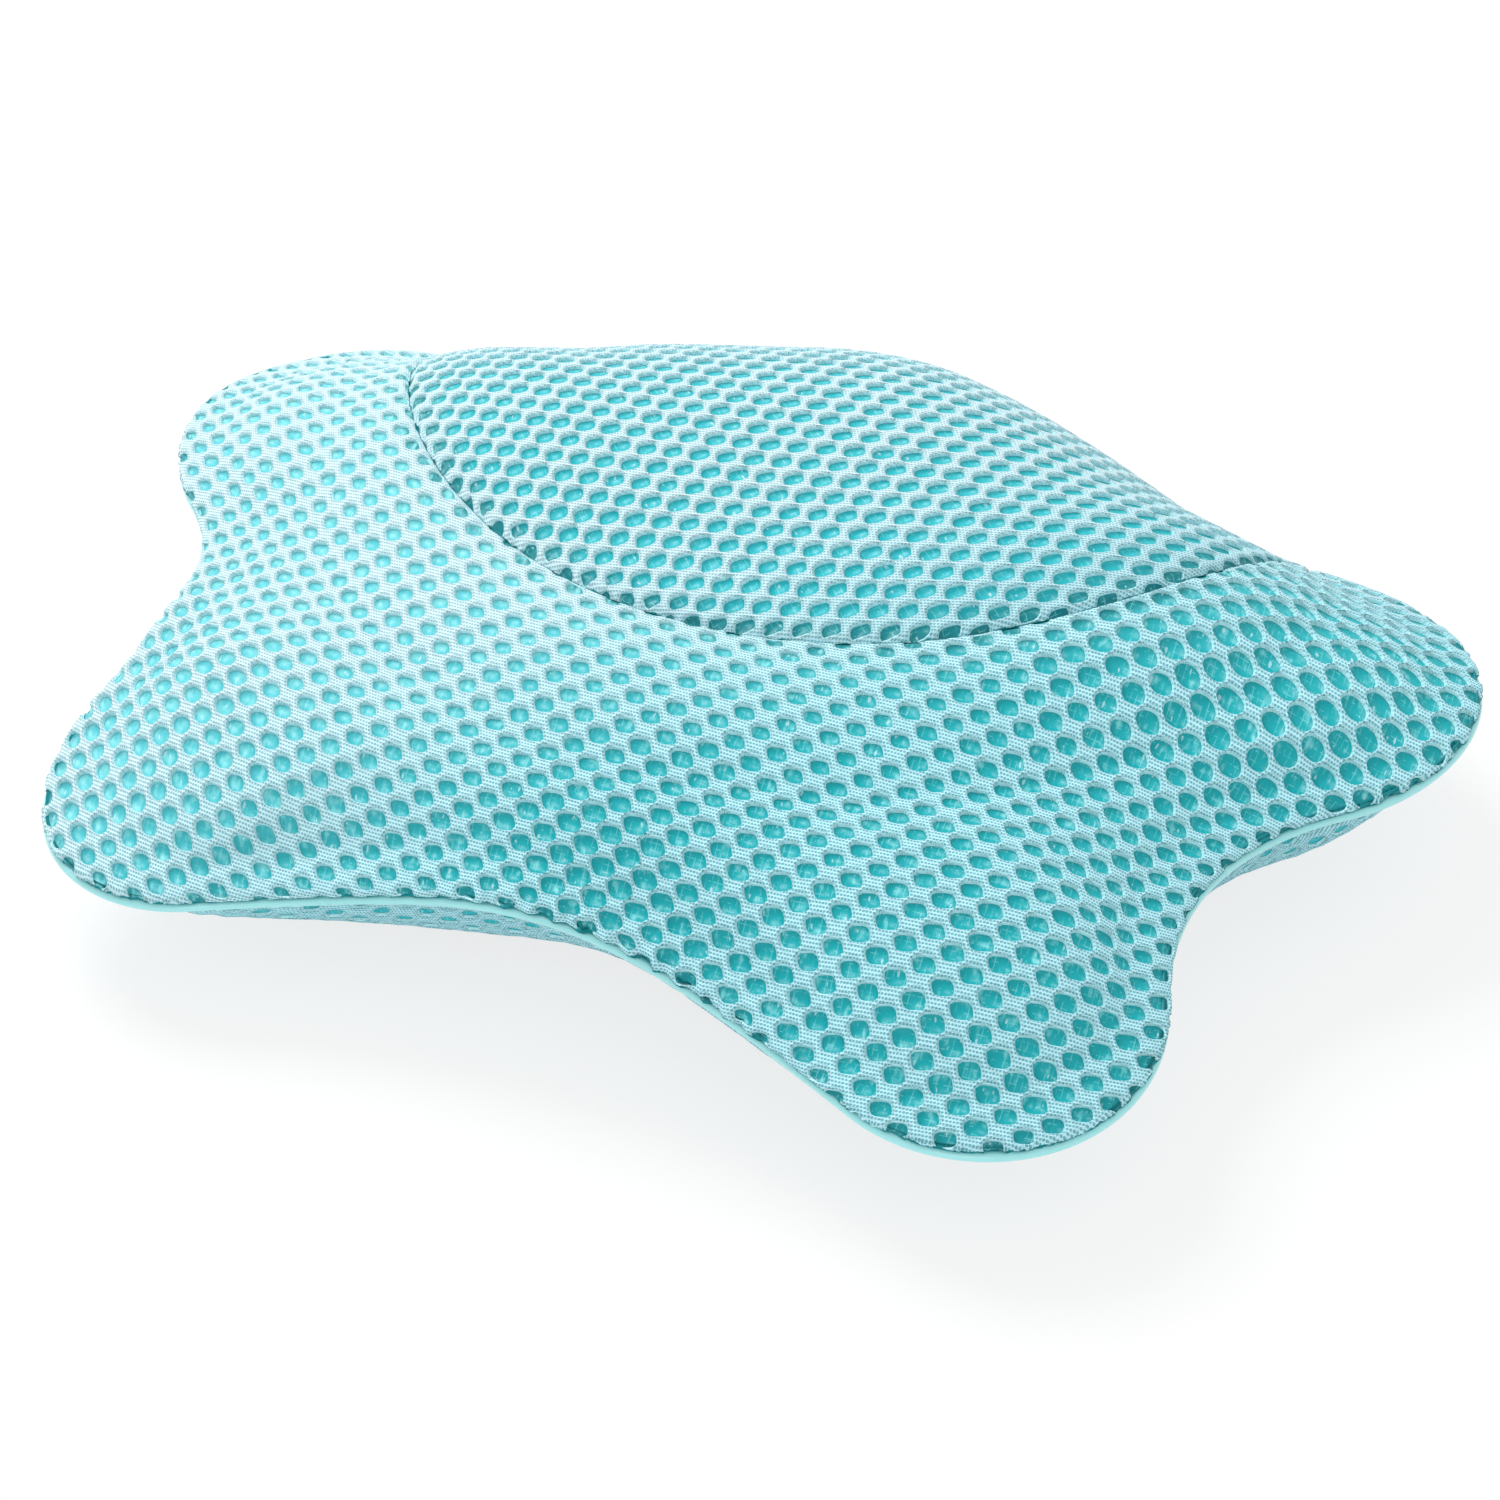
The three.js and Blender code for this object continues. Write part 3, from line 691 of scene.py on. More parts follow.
def spacer_mesh_tree():
    """A tree that covers a panel with wells. The panel's points carry knit, outward, squeeze, open,
    drawn, pinch and tuck."""
    tree = bpy.data.node_groups.new("spacer_mesh", "GeometryNodeTree")
    inputs = {
        "Panel": ("Geometry", None), "Well": ("Object", None), "Course pitch": ("Float", COURSE_PITCH),
        "Wale pitch": ("Float", WALE_PITCH), "Thickness": ("Float", PANEL_THICKNESS),
        "Material": ("Material", None)}
    names = {}
    for label, (kind, value) in inputs.items():
        socket = tree.interface.new_socket(label, in_out="INPUT", socket_type="NodeSocket" + kind)
        if value is not None:
            socket.default_value = value
        names[label] = socket.identifier
    tree.interface.new_socket("Mesh", in_out="OUTPUT", socket_type="NodeSocketGeometry")
    g = Graph(tree)
    panel, well, course, wale, thickness, material = g.add("NodeGroupInput", out=tuple(inputs))

    def step(kind, geometry, **values):
        return g.add("GeometryNode" + kind, None, {"Geometry": geometry, **values})

    def named(label, kind="FLOAT_VECTOR"):
        return g.add("GeometryNodeInputNamedAttribute", {"data_type": kind}, {"Name": label})

    def store(geometry, label, value, kind="FLOAT", domain="POINT"):
        return g.add("GeometryNodeStoreNamedAttribute", {"data_type": kind, "domain": domain}, {
            "Geometry": geometry, "Name": label, "Value": value})

    # The panel laid flat, and a lattice of wells over it
    placed = store(panel, "place", g.add("GeometryNodeInputPosition"), "FLOAT_VECTOR")
    flat = step("SetPosition", placed, Position=named("knit"))

    def sampled(label, spot, kind="FLOAT_VECTOR"):
        return g.add("GeometryNodeSampleNearestSurface", {"data_type": kind}, {
            "Mesh": flat, "Value": named(label, kind), "Sample Position": spot})

    low, high = g.add("GeometryNodeBoundBox", None, {"Geometry": flat}, out=("Min", "Max"))
    low_x, low_y, _ = g.parts(low)
    high_x, high_y, _ = g.parts(high)
    half_columns = ((high_x - low_x) / course * 0.5).ceil() + 1
    half_rows = ((high_y - low_y) / wale * 0.5).ceil() + 1
    middle_x = ((low_x + high_x) * 0.5 / course).rounded() * course
    middle_y = ((low_y + high_y) * 0.5 / wale).rounded() * wale
    lattice = g.add("GeometryNodeMeshGrid", None, {
        "Size X": half_columns * 2 * course, "Size Y": half_rows * 2 * wale,
        "Vertices X": half_columns * 2 + 1, "Vertices Y": half_rows * 2 + 1})
    places = []
    for shift in (0, 0.5):
        spot = g.combined(middle_x + shift * course, middle_y + shift * wale)
        places.append(step("Transform", lattice, Translation=spot))
    both = step("JoinGeometry", places)
    away = g.add("GeometryNodeProximity", {"target_element": "FACES"}, {0: flat}, out="Distance")
    near = g.add("GeometryNodeDeleteGeometry", {"domain": "POINT"}, {
        "Geometry": both, "Selection": away.over(course * 0.6)})
    template = g.add("GeometryNodeObjectInfo", None, {"Object": well}, out="Geometry")
    wells = g.add("GeometryNodeInstanceOnPoints", None, {"Points": near, "Instance": template})
    chance = g.add("FunctionNodeRandomValue", {"data_type": "FLOAT"}, {"Seed": 3}, out=1)
    position = g.add("GeometryNodeInputPosition")
    wells = store(wells, "chance", chance, domain="INSTANCE")
    wells = store(wells, "centre", position, "FLOAT_VECTOR", "INSTANCE")
    opened = sampled("open", position, "FLOAT") * (chance * 0.12 + 0.94)
    wells = store(wells, "open", opened, domain="INSTANCE")
    wells = store(wells, "drawn", sampled("drawn", position, "FLOAT"), domain="INSTANCE")
    wells = step("RealizeInstances", wells)

    # Each well opened or closed within its own piece of the mesh
    grown = (named("open", "FLOAT") - 1) * named("ring", "FLOAT").at_most(1.0) + 1
    to_leaf = g.scaled(named("leaf"), named("drawn", "FLOAT"))
    from_centre = g.vector_maths("SUBTRACT", g.vector_maths("ADD", position, to_leaf), named("centre"))
    from_centre = g.scaled(from_centre, grown)
    wells = step("SetPosition", wells, Position=g.vector_maths("ADD", named("centre"), from_centre))
    wells = step("MergeByDistance", wells, Distance=2 * WELD_DISTANCE)

    # Heights are kept apart, and pieces that lie wholly off the panel are dropped
    x, y, height = g.parts(position)
    spot = g.combined(x, y)
    wells = store(wells, "height", height)
    wells = store(wells, "knit", spot, "FLOAT_VECTOR")
    off = g.add("GeometryNodeProximity", {"target_element": "FACES"}, {
        0: flat, "Source Position": spot}, out="Distance").over(WELD_DISTANCE)
    wells = store(wells, "off", off)
    wells = g.add("GeometryNodeDeleteGeometry", {"domain": "FACE"}, {
        "Geometry": wells, "Selection": named("off", "FLOAT").over(0.99)})

    # Laid over the panel
    knit = named("knit")
    outward = g.vector_maths("NORMALIZE", sampled("outward", knit))
    for label in ("squeeze", "pinch", "tuck"):
        wells = store(wells, label, sampled(label, knit, "FLOAT"))
    rise = named("height", "FLOAT") * named("squeeze", "FLOAT")
    laid = g.vector_maths("ADD", sampled("place", knit), g.scaled(outward, rise))
    wells = step("SetPosition", wells, Position=laid)
    wells = step("MergeByDistance", wells, Distance=3 * WELD_DISTANCE)

    # The inner face of the cover
    inward = thickness * named("squeeze", "FLOAT") * -1
    inner = step("SetPosition", panel, Offset=g.scaled(named("outward"), inward))
    inner = g.add("GeometryNodeFlipFaces", None, {"Mesh": inner})
    inner = store(inner, "ring", 2.0)
    whole = step("SetShadeSmooth", step("JoinGeometry", [wells, inner]))
    whole = step("SetMaterial", whole, Material=material)
    whole = step("RealizeInstances", whole)
    g.add("NodeGroupOutput", None, {"Mesh": whole})
    return tree, names


def run_tree(piece, tree, values, name):
    modifier = piece.modifiers.new(tree.name, "NODES")
    modifier.node_group = tree
    for identifier, value in values.items():
        modifier[identifier] = value
    return finished(piece, name)


# Materials

def new_material(name):
    material = bpy.data.materials.new(name)
    material.use_nodes = True
    material.node_tree.nodes.clear()
    return material, Graph(material.node_tree)


def principled(g, colour, roughness, **others):
    values = {"Base Color": colour, "Roughness": roughness}
    values.update({label.replace("_", " "): value for label, value in others.items()})
    shader = g.add("ShaderNodeBsdfPrincipled", None, values)
    g.add("ShaderNodeOutputMaterial", None, {"Surface": shader})


def colour_mix(g, share, first, second):
    node = g.tree.nodes.new("ShaderNodeMix")
    node.data_type = "RGBA"
    g.link(share, node.inputs[0])
    g.link(first, node.inputs[6])
    g.link(second, node.inputs[7])
    return Wire(g, node.outputs[2])


def linear(red, green, blue):
    """A colour given as it shows on a screen, in shares of full brightness."""
    def channel(value):
        return value / 12.92 if value <= 0.04045 else ((value + 0.055) / 1.055) ** 2.4
    return (channel(red), channel(green), channel(blue), 1.0)


def attribute(g, label, out="Fac"):
    return g.add("ShaderNodeAttribute", {"attribute_name": label}, out=out)


def noise(g, vector, scale, detail=2.0):
    return g.add("ShaderNodeTexNoise", None, {"Vector": vector, "Scale": scale, "Detail": detail})


def bump(g, height, strength, distance):
    return g.add("ShaderNodeBump", None, {"Height": height, "Strength": strength, "Distance": distance})


WELL_YARNS = 4
WALL_YARNS = 3
WELL_FLOOR = 1.09
FLOOR_YARN_ACROSS = 1.6 * MM
FLOOR_YARN_ALONG = 2.1 * MM
# Where the painted shade falls across the pillow: darker towards the right and the front
RIGHT_SHADE = 0.8
FRONT_SHADE = -0.9
LIT_PLACE = -0.03
SHADED_PLACE = 0.10
YARN = linear(0.865, 0.97, 1.0)
# Yarn painted in shade, for the right and the front
SHADED_SIDE_YARN = linear(0.75, 0.955, 1.0)
# Yarn painted more saturated, as the fabric looks in shade on the underside
UNDERSIDE_SHADE_YARN = linear(0.70, 0.97, 1.0)
YARN_GAP = linear(0.16, 0.66, 0.70)
WALL = linear(0.80, 0.975, 1.0)
WALL_GAP = linear(0.20, 0.74, 0.78)
FLOOR = linear(0.36, 0.80, 0.84)
DEEP_FLOOR = linear(0.0, 0.66, 0.69)
HEAD_FLOOR = linear(0.0, 0.71, 0.75)
# Well floors painted in shade where the wells are pinched by the seam and the rim
PINCH_SHADE_FLOOR = linear(0.0, 0.50, 0.53)
# Painted shade in the crease where the cover meets its seam and the piping
TUCK_SHADE_COLOUR = linear(0.02, 0.55, 0.58)
FILM = linear(0.50, 0.86, 0.875)


def spacer_mesh_material(name, yarn, deep_floor, sheen, grain_turn):
    """Sheen is how much pale film and painted sheen shows on the floors of the wells; grain_turn turns the
    stitch rows.
    """
    material, g = new_material(name)
    knit = attribute(g, "knit", "Vector")
    ring = attribute(g, "ring")
    chance = attribute(g, "chance")
    pinch = attribute(g, "pinch")
    flat_x, flat_y, _ = g.parts(knit)
    x = flat_x * math.cos(grain_turn) + flat_y * math.sin(grain_turn)
    y = flat_y * math.cos(grain_turn) - flat_x * math.sin(grain_turn)

    # Painted shade: towards the right and the front, where less light falls, the yarn is drawn darker and
    # more saturated, its stitch gaps stronger, the well floors deeper teal and their pale film fainter
    place_x, place_y, _ = g.parts(g.add("ShaderNodeTexCoord", out="Object"))
    tight_and_shade = (place_x * RIGHT_SHADE + place_y * FRONT_SHADE).ramp(LIT_PLACE, SHADED_PLACE)

    # Stitches of the face: rows along the courses, each a half stitch on from the row before
    row = y / KNIT_COURSE
    odd = row.floor() - (row * 0.5).floor() * 2
    stitch = (x / KNIT_WALE * math.tau + odd * math.pi).sine() * 0.5 + 0.5
    course = (row * math.tau - math.pi / 2).sine() * 0.5 + 0.5
    cloudy = noise(g, knit, 900.0)
    holes = (course * (stitch * 0.75 + 0.25) + cloudy * 0.6).ramp(0.5, 1.0)
    # Painted shade: darker, more saturated yarn and stronger stitch gaps towards the right and the front
    face = colour_mix(g, tight_and_shade, yarn, SHADED_SIDE_YARN)
    face = colour_mix(g, holes * (tight_and_shade * 0.25 + 0.45), face, YARN_GAP)

    # Yarns that run round each well, down its wall and, where the mesh slopes in, behind it
    on_wall = ring.ramp(0.995, 1.0)
    _, centre_y, _ = g.parts(attribute(g, "centre", "Vector"))
    behind = ((flat_y - centre_y) / WALE_PITCH).ramp(0.05, 0.25)
    line = (ring * math.tau * WELL_YARNS).sine().ramp(-0.1, 0.7) * ring.ramp(0.3, 0.55) * (1 - on_wall)
    side = colour_mix(g, ring.ramp(0.9, 1.0), face, WALL)
    fabric = colour_mix(g, line * (behind * (stitch * 0.15 + 0.15) + 0.05), side, YARN_GAP)
    down_wall = ((ring - 1) * (math.tau * WALL_YARNS / (WELL_FLOOR - 1))).sine().ramp(-0.2, 0.6)
    fabric = colour_mix(g, down_wall * on_wall * 0.45, fabric, WALL_GAP)

    # The glossy inner layer at the bottom of each well, with the yarns that hold the mesh apart. Its pale
    # patches are partly the film's own paler colour and partly painted sheen, fainter towards the shaded
    # right and front.
    shifted = g.vector_maths("ADD", knit, g.combined(chance * 3.7, chance * 1.9))
    streaks = noise(g, g.vector_maths("MULTIPLY", shifted, (1.0, 0.3, 1.0)), 700.0, 3.0)
    cloud = noise(g, shifted, 300.0, 1.0)
    lit = (cloud * 0.7 + streaks * 0.5 - tight_and_shade * 0.15).ramp(0.48, 0.74) * sheen
    # Painted shade: the floors deepen towards the right and the front
    bottom = colour_mix(g, tight_and_shade.at_least(1 - sheen), FLOOR, deep_floor)
    # Painted shade: the floors of the pinched wells by the seam and the rim are drawn darker
    bottom = colour_mix(g, pinch, bottom, PINCH_SHADE_FLOOR)
    bottom = colour_mix(g, lit, bottom, FILM)
    upright = (flat_x / FLOOR_YARN_ACROSS * math.tau + chance * 9).sine().ramp(0.8, 0.98)
    bar = upright.at_least((flat_y / FLOOR_YARN_ALONG * math.tau + chance * 5).sine().ramp(0.85, 0.98))
    bottom = colour_mix(g, bar * streaks.ramp(0.45, 0.6) * 0.55, bottom, FILM)
    # Painted highlights: small white glints on the floors of the wells
    glint = noise(g, g.vector_maths("MULTIPLY", shifted, (1.0, 0.4, 1.0)), 900.0, 0.0).ramp(0.75, 0.81)
    bottom = colour_mix(g, glint * 0.5, bottom, yarn)
    on_floor = ring.ramp(WELL_FLOOR - 0.02, WELL_FLOOR)
    colour = colour_mix(g, on_floor, fabric, bottom)

    # Painted shade: a dark line in the crease where the cover's edge meets its seam and the piping
    tuck_shade_mask = (attribute(g, "tuck") + noise(g, knit, 260.0, 3.0)).ramp(1.32, 1.5)
    colour = colour_mix(g, tuck_shade_mask, colour, TUCK_SHADE_COLOUR)

    relief = (1 - holes) * (1 - on_floor) + streaks * on_floor * 0.6 - line * 0.6 * (1 - on_floor)
    normal = bump(g, relief, 0.9, 0.35 * MM)
    principled(g, colour, 0.9 - on_floor * 0.5, Normal=normal, Specular_IOR_Level=0.3)
    return material


def vinyl_material(name, colour, roughness, coat):
    material, g = new_material(name)
    spot = g.add("ShaderNodeTexCoord", out="Object")
    worn = noise(g, spot, 40.0, 3.0)
    shade = colour_mix(g, worn.ramp(0.35, 0.7) * 0.25, colour, tuple(c * 0.8 for c in colour[:3]) + (1.0,))
    fine = noise(g, spot, 1400.0, 2.0)
    normal = bump(g, fine + worn * 2.0, 0.15, 0.2 * MM)
    principled(g, shade, roughness + worn * 0.12, Normal=normal, Coat_Weight=coat)
    return material


def cup_material():
    material, g = new_material("clear_vinyl")
    spot = g.add("ShaderNodeTexCoord", out="Object")
    flow = noise(g, spot, 60.0, 2.0)
    shade = colour_mix(g, flow.ramp(0.4, 0.7) * 0.3, linear(0.78, 0.93, 0.93), linear(0.62, 0.86, 0.87))
    principled(g, shade, 0.1 + flow * 0.08, Transmission_Weight=0.55, IOR=1.5, Coat_Weight=0.3)
    return material


def fibre_material():
    material, g = new_material("polyester_fibre")
    spot = g.add("ShaderNodeTexCoord", out="Object")
    strands = noise(g, g.vector_maths("MULTIPLY", spot, (1.0, 1.0, 0.3)), 500.0, 6.0)
    shade = colour_mix(g, strands.ramp(0.4, 0.65), linear(0.75, 0.86, 0.87), linear(0.93, 0.97, 0.97))
    principled(g, shade, 0.95, Normal=bump(g, strands, 0.8, 1 * MM))
    return material


# Panels

def outer_clustered(rings):
    return np.sin(np.linspace(0, math.pi / 2, rings))[:, None] * np.ones(OUTLINE_COLUMNS)


def both_clustered(rings):
    return (0.5 - 0.5 * np.cos(np.linspace(0, math.pi, rings)))[:, None]


rim_x, rim_y = inset_rim(PANEL_INSET)
rim_reach = np.hypot(rim_x, rim_y)
seam_share = seam_distance(rim_x, rim_y) / rim_reach
has_body = rim_reach * (1 - seam_share) > BODY_END_WIDTH
head_shares = outer_clustered(HEAD_RINGS) * np.where(has_body, seam_share, 1)
body_start = np.where(has_body, seam_share, 1)
body_shares = body_start + (1 - body_start) * both_clustered(BODY_RINGS)
under_shares = outer_clustered(UNDER_RINGS)
flat_shift = eased_flat()
outline_length = np.concatenate([[0], np.cumsum(np.hypot(np.diff(outline.x), np.diff(outline.y)))])


def gathers(to_rim):
    """How far small folds stand out where the cover is drawn together along the hollows of its rim."""
    turning = np.roll(outline.nx, -1) * outline.ny - outline.nx * np.roll(outline.ny, -1)
    window = np.ones(GATHER_TURNING_POINTS) / GATHER_TURNING_POINTS
    smoothed = np.convolve(np.tile(turning, 3), window, "same")[OUTLINE_COLUMNS:2 * OUTLINE_COLUMNS]
    hollow = smooth_step(smoothed * GATHER_TURNING_GAIN)
    crotch = nearness(outline.x, outline.y, GATHER_X, GATHER_Y, GATHER_SPREAD)
    drift = GATHER_DRIFT * np.sin(outline_length / GATHER_DRIFT_LENGTH)
    wave = np.sin(math.tau * outline_length / GATHER_LENGTH + drift)
    return GATHER_DEPTH * hollow * crotch * wave * np.exp(-to_rim / GATHER_REACH)


def near_places(points, places):
    """The share that each point has of its nearby places."""
    total = np.zeros(points.shape[:-1])
    for spot in places:
        total += spot.share * nearness(points[..., 0], points[..., 1], *spot[:3])
    return total


def make_panel(name, shares, surface, lengths, lay, swelling=None, columns=slice(None), under=False):
    """The panel's outer face as a grid, with what the mesh needs to be laid over it."""
    is_body = lay is BODY_LAY
    points = surface(shares)
    to_rim = lengths[-1] - length_at(shares, lengths)
    to_seam = np.abs(from_seam(points[..., 0], points[..., 1])) + (SEAMLESS if under else 0)
    closed = columns == slice(None)
    outward = outward_of(points, True) * (-1 if under else 1)
    if swelling is not None:
        points = points + outward * swelling(points, outward, to_rim, to_seam)[..., None]
    folds = gathers(to_rim)[..., None]
    points = points + outward * folds
    if not under:
        points = overhung(points, to_rim)
        points = points + rim_outward * folds
    pulls, fade = (UNDER_PULLS, UNDER_PULL_FADE) if under else (TOP_PULLS, TOP_PULL_FADE)
    points = pulled_inside(points, to_rim, pulls, fade)
    if meets_in_middle(points):
        points[0] = points[0].mean(axis=0)
    roll = 1 - smooth_step(to_seam / SEAM_ROLL_WIDTH)
    rolled = points - np.array([0, 0, SEAM_ROLL_DEPTH]) * (roll ** 1.5)[..., None]
    taken_in = lengths_of(rolled) - lengths_of(points)
    if is_body:
        taken_in = taken_in - taken_in[-1]
    points = rolled
    held = np.minimum(to_seam / SEAM_SQUEEZE_WIDTH, to_rim / RIM_SQUEEZE_WIDTH)
    squeeze = SQUEEZED_SHARE + (1 - SQUEEZED_SHARE) * smooth_step(held)
    near_hold = 1 - smooth_step(np.minimum(to_seam, to_rim) / PINCH_REACH)
    # Where the painted shade of the crease at the seam and at the piping falls
    tuck = np.maximum(1 - to_seam / SEAM_TUCK_SHADE_WIDTH, RIM_TUCK_SHADE * (1 - to_rim / RIM_TUCK_SHADE_WIDTH))
    tight_and_shade = smooth_step((points[..., 0] - WELL_OPEN_FROM) / (WELL_OPEN_TO - WELL_OPEN_FROM))
    opened = WELL_OPEN_SLACK + (WELL_OPEN_TIGHT - WELL_OPEN_SLACK) * tight_and_shade * is_body
    opened = opened + near_places(points, OPENINGS) * is_body
    drawn = near_places(points, LEAVES) * is_body
    opened = opened * np.where(to_seam < to_rim, 1 - (1 - WELL_OPEN_SEAM) * near_hold,
                               1 - (1 - WELL_OPEN_RIM) * near_hold)
    length = length_at(shares, lengths if under else overhung_lengths) + taken_in
    length = length + RIM_GATHER * np.exp(-to_rim / RIM_GATHER_REACH)
    knit = knit_position(length, lay, 0 if under else between_points(flat_shift, shares))
    if under:
        knit = knit * [-1, 1, 1]
    grids = [points, knit] + [grid[..., None] for grid in (squeeze, opened, drawn, near_hold, tuck)]
    points, knit, squeeze, opened, drawn, near_hold, tuck = [grid[:, columns] for grid in grids]
    outward = outward_of(points, closed) * (-1 if under else 1)
    faces = grid_faces(*points.shape[:2], closed, upwards=not under)
    panel = mesh_object(name, to_row(points), faces, knit=knit, outward=outward, squeeze=squeeze,
                        open=opened, drawn=drawn, pinch=near_hold, tuck=tuck)
    weld(panel)
    return panel


# The filling pressed into the cover

def simulated_swelling():
    """Blows up a copy of the cushion, held at its rim and seam, and returns a function that tells how
    far it stands out."""
    top_shares = outer_clustered(CUSHION_RINGS)
    top = top_surface(top_shares)
    top = top - outward_of(top, True) * SWELL
    under = under_surface(top_shares)
    points = np.concatenate([top, under[::-1]])[:, ::SIMULATION_COLUMN_STEP]
    pad = mesh_object("simulated_pad", points, grid_faces(*points.shape[:2], True))
    pad.data.remesh_voxel_size = SIMULATION_VOXEL
    bpy.context.view_layer.objects.active = pad
    pad.select_set(True)
    bpy.ops.object.voxel_remesh()
    count = len(pad.data.vertices)
    places = np.zeros(count * 3)
    pad.data.vertices.foreach_get("co", places)
    places = places.reshape(-1, 3)
    share = np.hypot(places[:, 0], places[:, 1])
    angle = np.arctan2(places[:, 1], places[:, 0])
    rim_angle = np.arctan2(rim_y, rim_x)
    order = np.argsort(rim_angle)
    reach = np.interp(angle, rim_angle[order], rim_reach[order], period=math.tau)
    held = (reach - share < SIMULATION_HELD_RIM) | (places[:, 2] < piping_z)
    seam = np.abs(from_seam(places[:, 0], places[:, 1])) < SIMULATION_HELD_SEAM
    group = pad.vertex_groups.new(name="held")
    group.add(np.flatnonzero(held | seam).tolist(), 1.0, "REPLACE")
    cloth = pad.modifiers.new("Cloth", "CLOTH")
    for label, value in CLOTH_SETTINGS.items():
        setattr(cloth.settings, label, value)
    cloth.settings.effector_weights.gravity = 0
    for number in range(1, SIMULATION_FRAMES + 1):
        bpy.context.scene.frame_set(number)
    graph = bpy.context.evaluated_depsgraph_get()
    tree = BVHTree.FromObject(pad, graph)
    bpy.context.scene.frame_set(1)
    bpy.data.objects.remove(pad)

    def swelling(points, outward, to_rim, to_seam):
        found = np.zeros(points.shape[:2])
        for spot in np.ndindex(found.shape):
            start = Vector(points[spot] + outward[spot] * SWELL_SEARCH)
            hit = tree.ray_cast(start, Vector(-outward[spot]), 2 * SWELL_SEARCH)
            found[spot] = SWELL_SEARCH - hit[3] if hit[0] is not None else 0
        found = np.clip(found, -SWELL_CAP, SWELL_CAP)
        for _ in range(SWELL_SMOOTHING):
            inner = (np.roll(found, 1, 1) + np.roll(found, -1, 1)) / 2
            found = (found + inner) / 2
            found[1:-1] = (found[1:-1] * 2 + found[:-2] + found[2:]) / 4
        near = np.minimum(to_rim, to_seam) / SIMULATION_FADE
        return found * smooth_step(near)

    return swelling


# Piping

PIPING_TUBE_R = 1.4 * MM
PIPING_CORD_R = 1 * MM
PIPING_SIDES = 19
CORD_SIDES = 12


def arc(start, end, sides):
    angles = np.linspace(start, end, sides + 1)
    return np.stack([np.cos(angles), np.sin(angles)], 1)


def cord_section():
    return arc(0, math.tau, CORD_SIDES) * PIPING_CORD_R


def piping_section():
    """The vinyl tube with its flange, in steps out from and up from the middle of the piping."""
    opening = math.asin(FLANGE_HALF / PIPING_TUBE_R)
    tube = arc(math.pi + opening, 3 * math.pi - opening, PIPING_SIDES) * PIPING_TUBE_R
    inner = -(PIPING_R + FLANGE_WIDTH)
    return np.vstack([[inner, -FLANGE_HALF], tube, [inner, FLANGE_HALF]])


def swept(name, section, material):
    """A section carried along the outline; its first point meets its last or is joined to it."""
    columns = make_outline(SWEEP_COLUMNS)
    middle_z = piping_z + edge_lift(columns.x, columns.y)
    out, up = section[:, :1], section[:, 1:]
    points = np.stack([columns.x + out * columns.nx, columns.y + out * columns.ny, middle_z + up], -1)
    count = len(section)
    points = pulled(np.vstack([points, points[:1]]), EDGE_PULLS)
    piece = mesh_object(name, to_row(points), grid_faces(count + 1, SWEEP_COLUMNS, True), material)
    weld(piece)
    return piece


# Suction cups and patches

def spun(name, profile, centre, material, sides=64):
    """A profile of radius and height turned round an upright axis; it starts and ends on the axis."""
    angles = np.linspace(0, math.tau, sides, endpoint=False)
    profile = np.array(profile)
    points = np.stack([centre[0] + profile[:, :1] * np.cos(angles),
                       centre[1] + profile[:, :1] * np.sin(angles),
                       profile[:, 1:] + 0 * angles], -1)
    piece = mesh_object(name, points, grid_faces(len(profile), sides, True), material)
    weld(piece)
    return piece


def rounded_profile(points, steps=5, share=0.35):
    """The profile with each inner corner turned into a short curve."""
    made = [np.array(points[0])]
    for before, corner, after in zip(points, points[1:], points[2:]):
        before, corner, after = map(np.array, (before, corner, after))
        reach = share * min(np.linalg.norm(before - corner), np.linalg.norm(after - corner))
        start = corner + (before - corner) / np.linalg.norm(before - corner) * reach
        end = corner + (after - corner) / np.linalg.norm(after - corner) * reach
        for t in np.linspace(0, 1, steps):
            made.append((1 - t) ** 2 * start + 2 * t * (1 - t) * corner + t ** 2 * end)
    return made + [np.array(points[-1])]


CUP_R = 25 * MM
CUP_LIP_WIDTH = 2 * MM
CUP_LIP_THICKNESS = 1 * MM
CUP_HEIGHT = 12 * MM
CUP_WALL = 2.4 * MM
CUP_SHOULDER_R = 11 * MM
NECK_R = 4 * MM
KNOB_R = 7 * MM
KNOB_HEIGHT = 4 * MM
TAB_LENGTH = 8 * MM
TAB_WIDTH = 9 * MM
TAB_THICKNESS = 1.2 * MM
TAB_ROOT = 1.5 * MM
TAB_EDGE = 0.3 * MM
TAB_FLAT_SHARE = 0.92
LIP_BEVEL_WIDTH = 0.3 * MM
LIP_BEVEL_HEIGHT = 0.2 * MM
PATCH_R = 21 * MM
NECK_CLEARANCE = 0.4 * MM


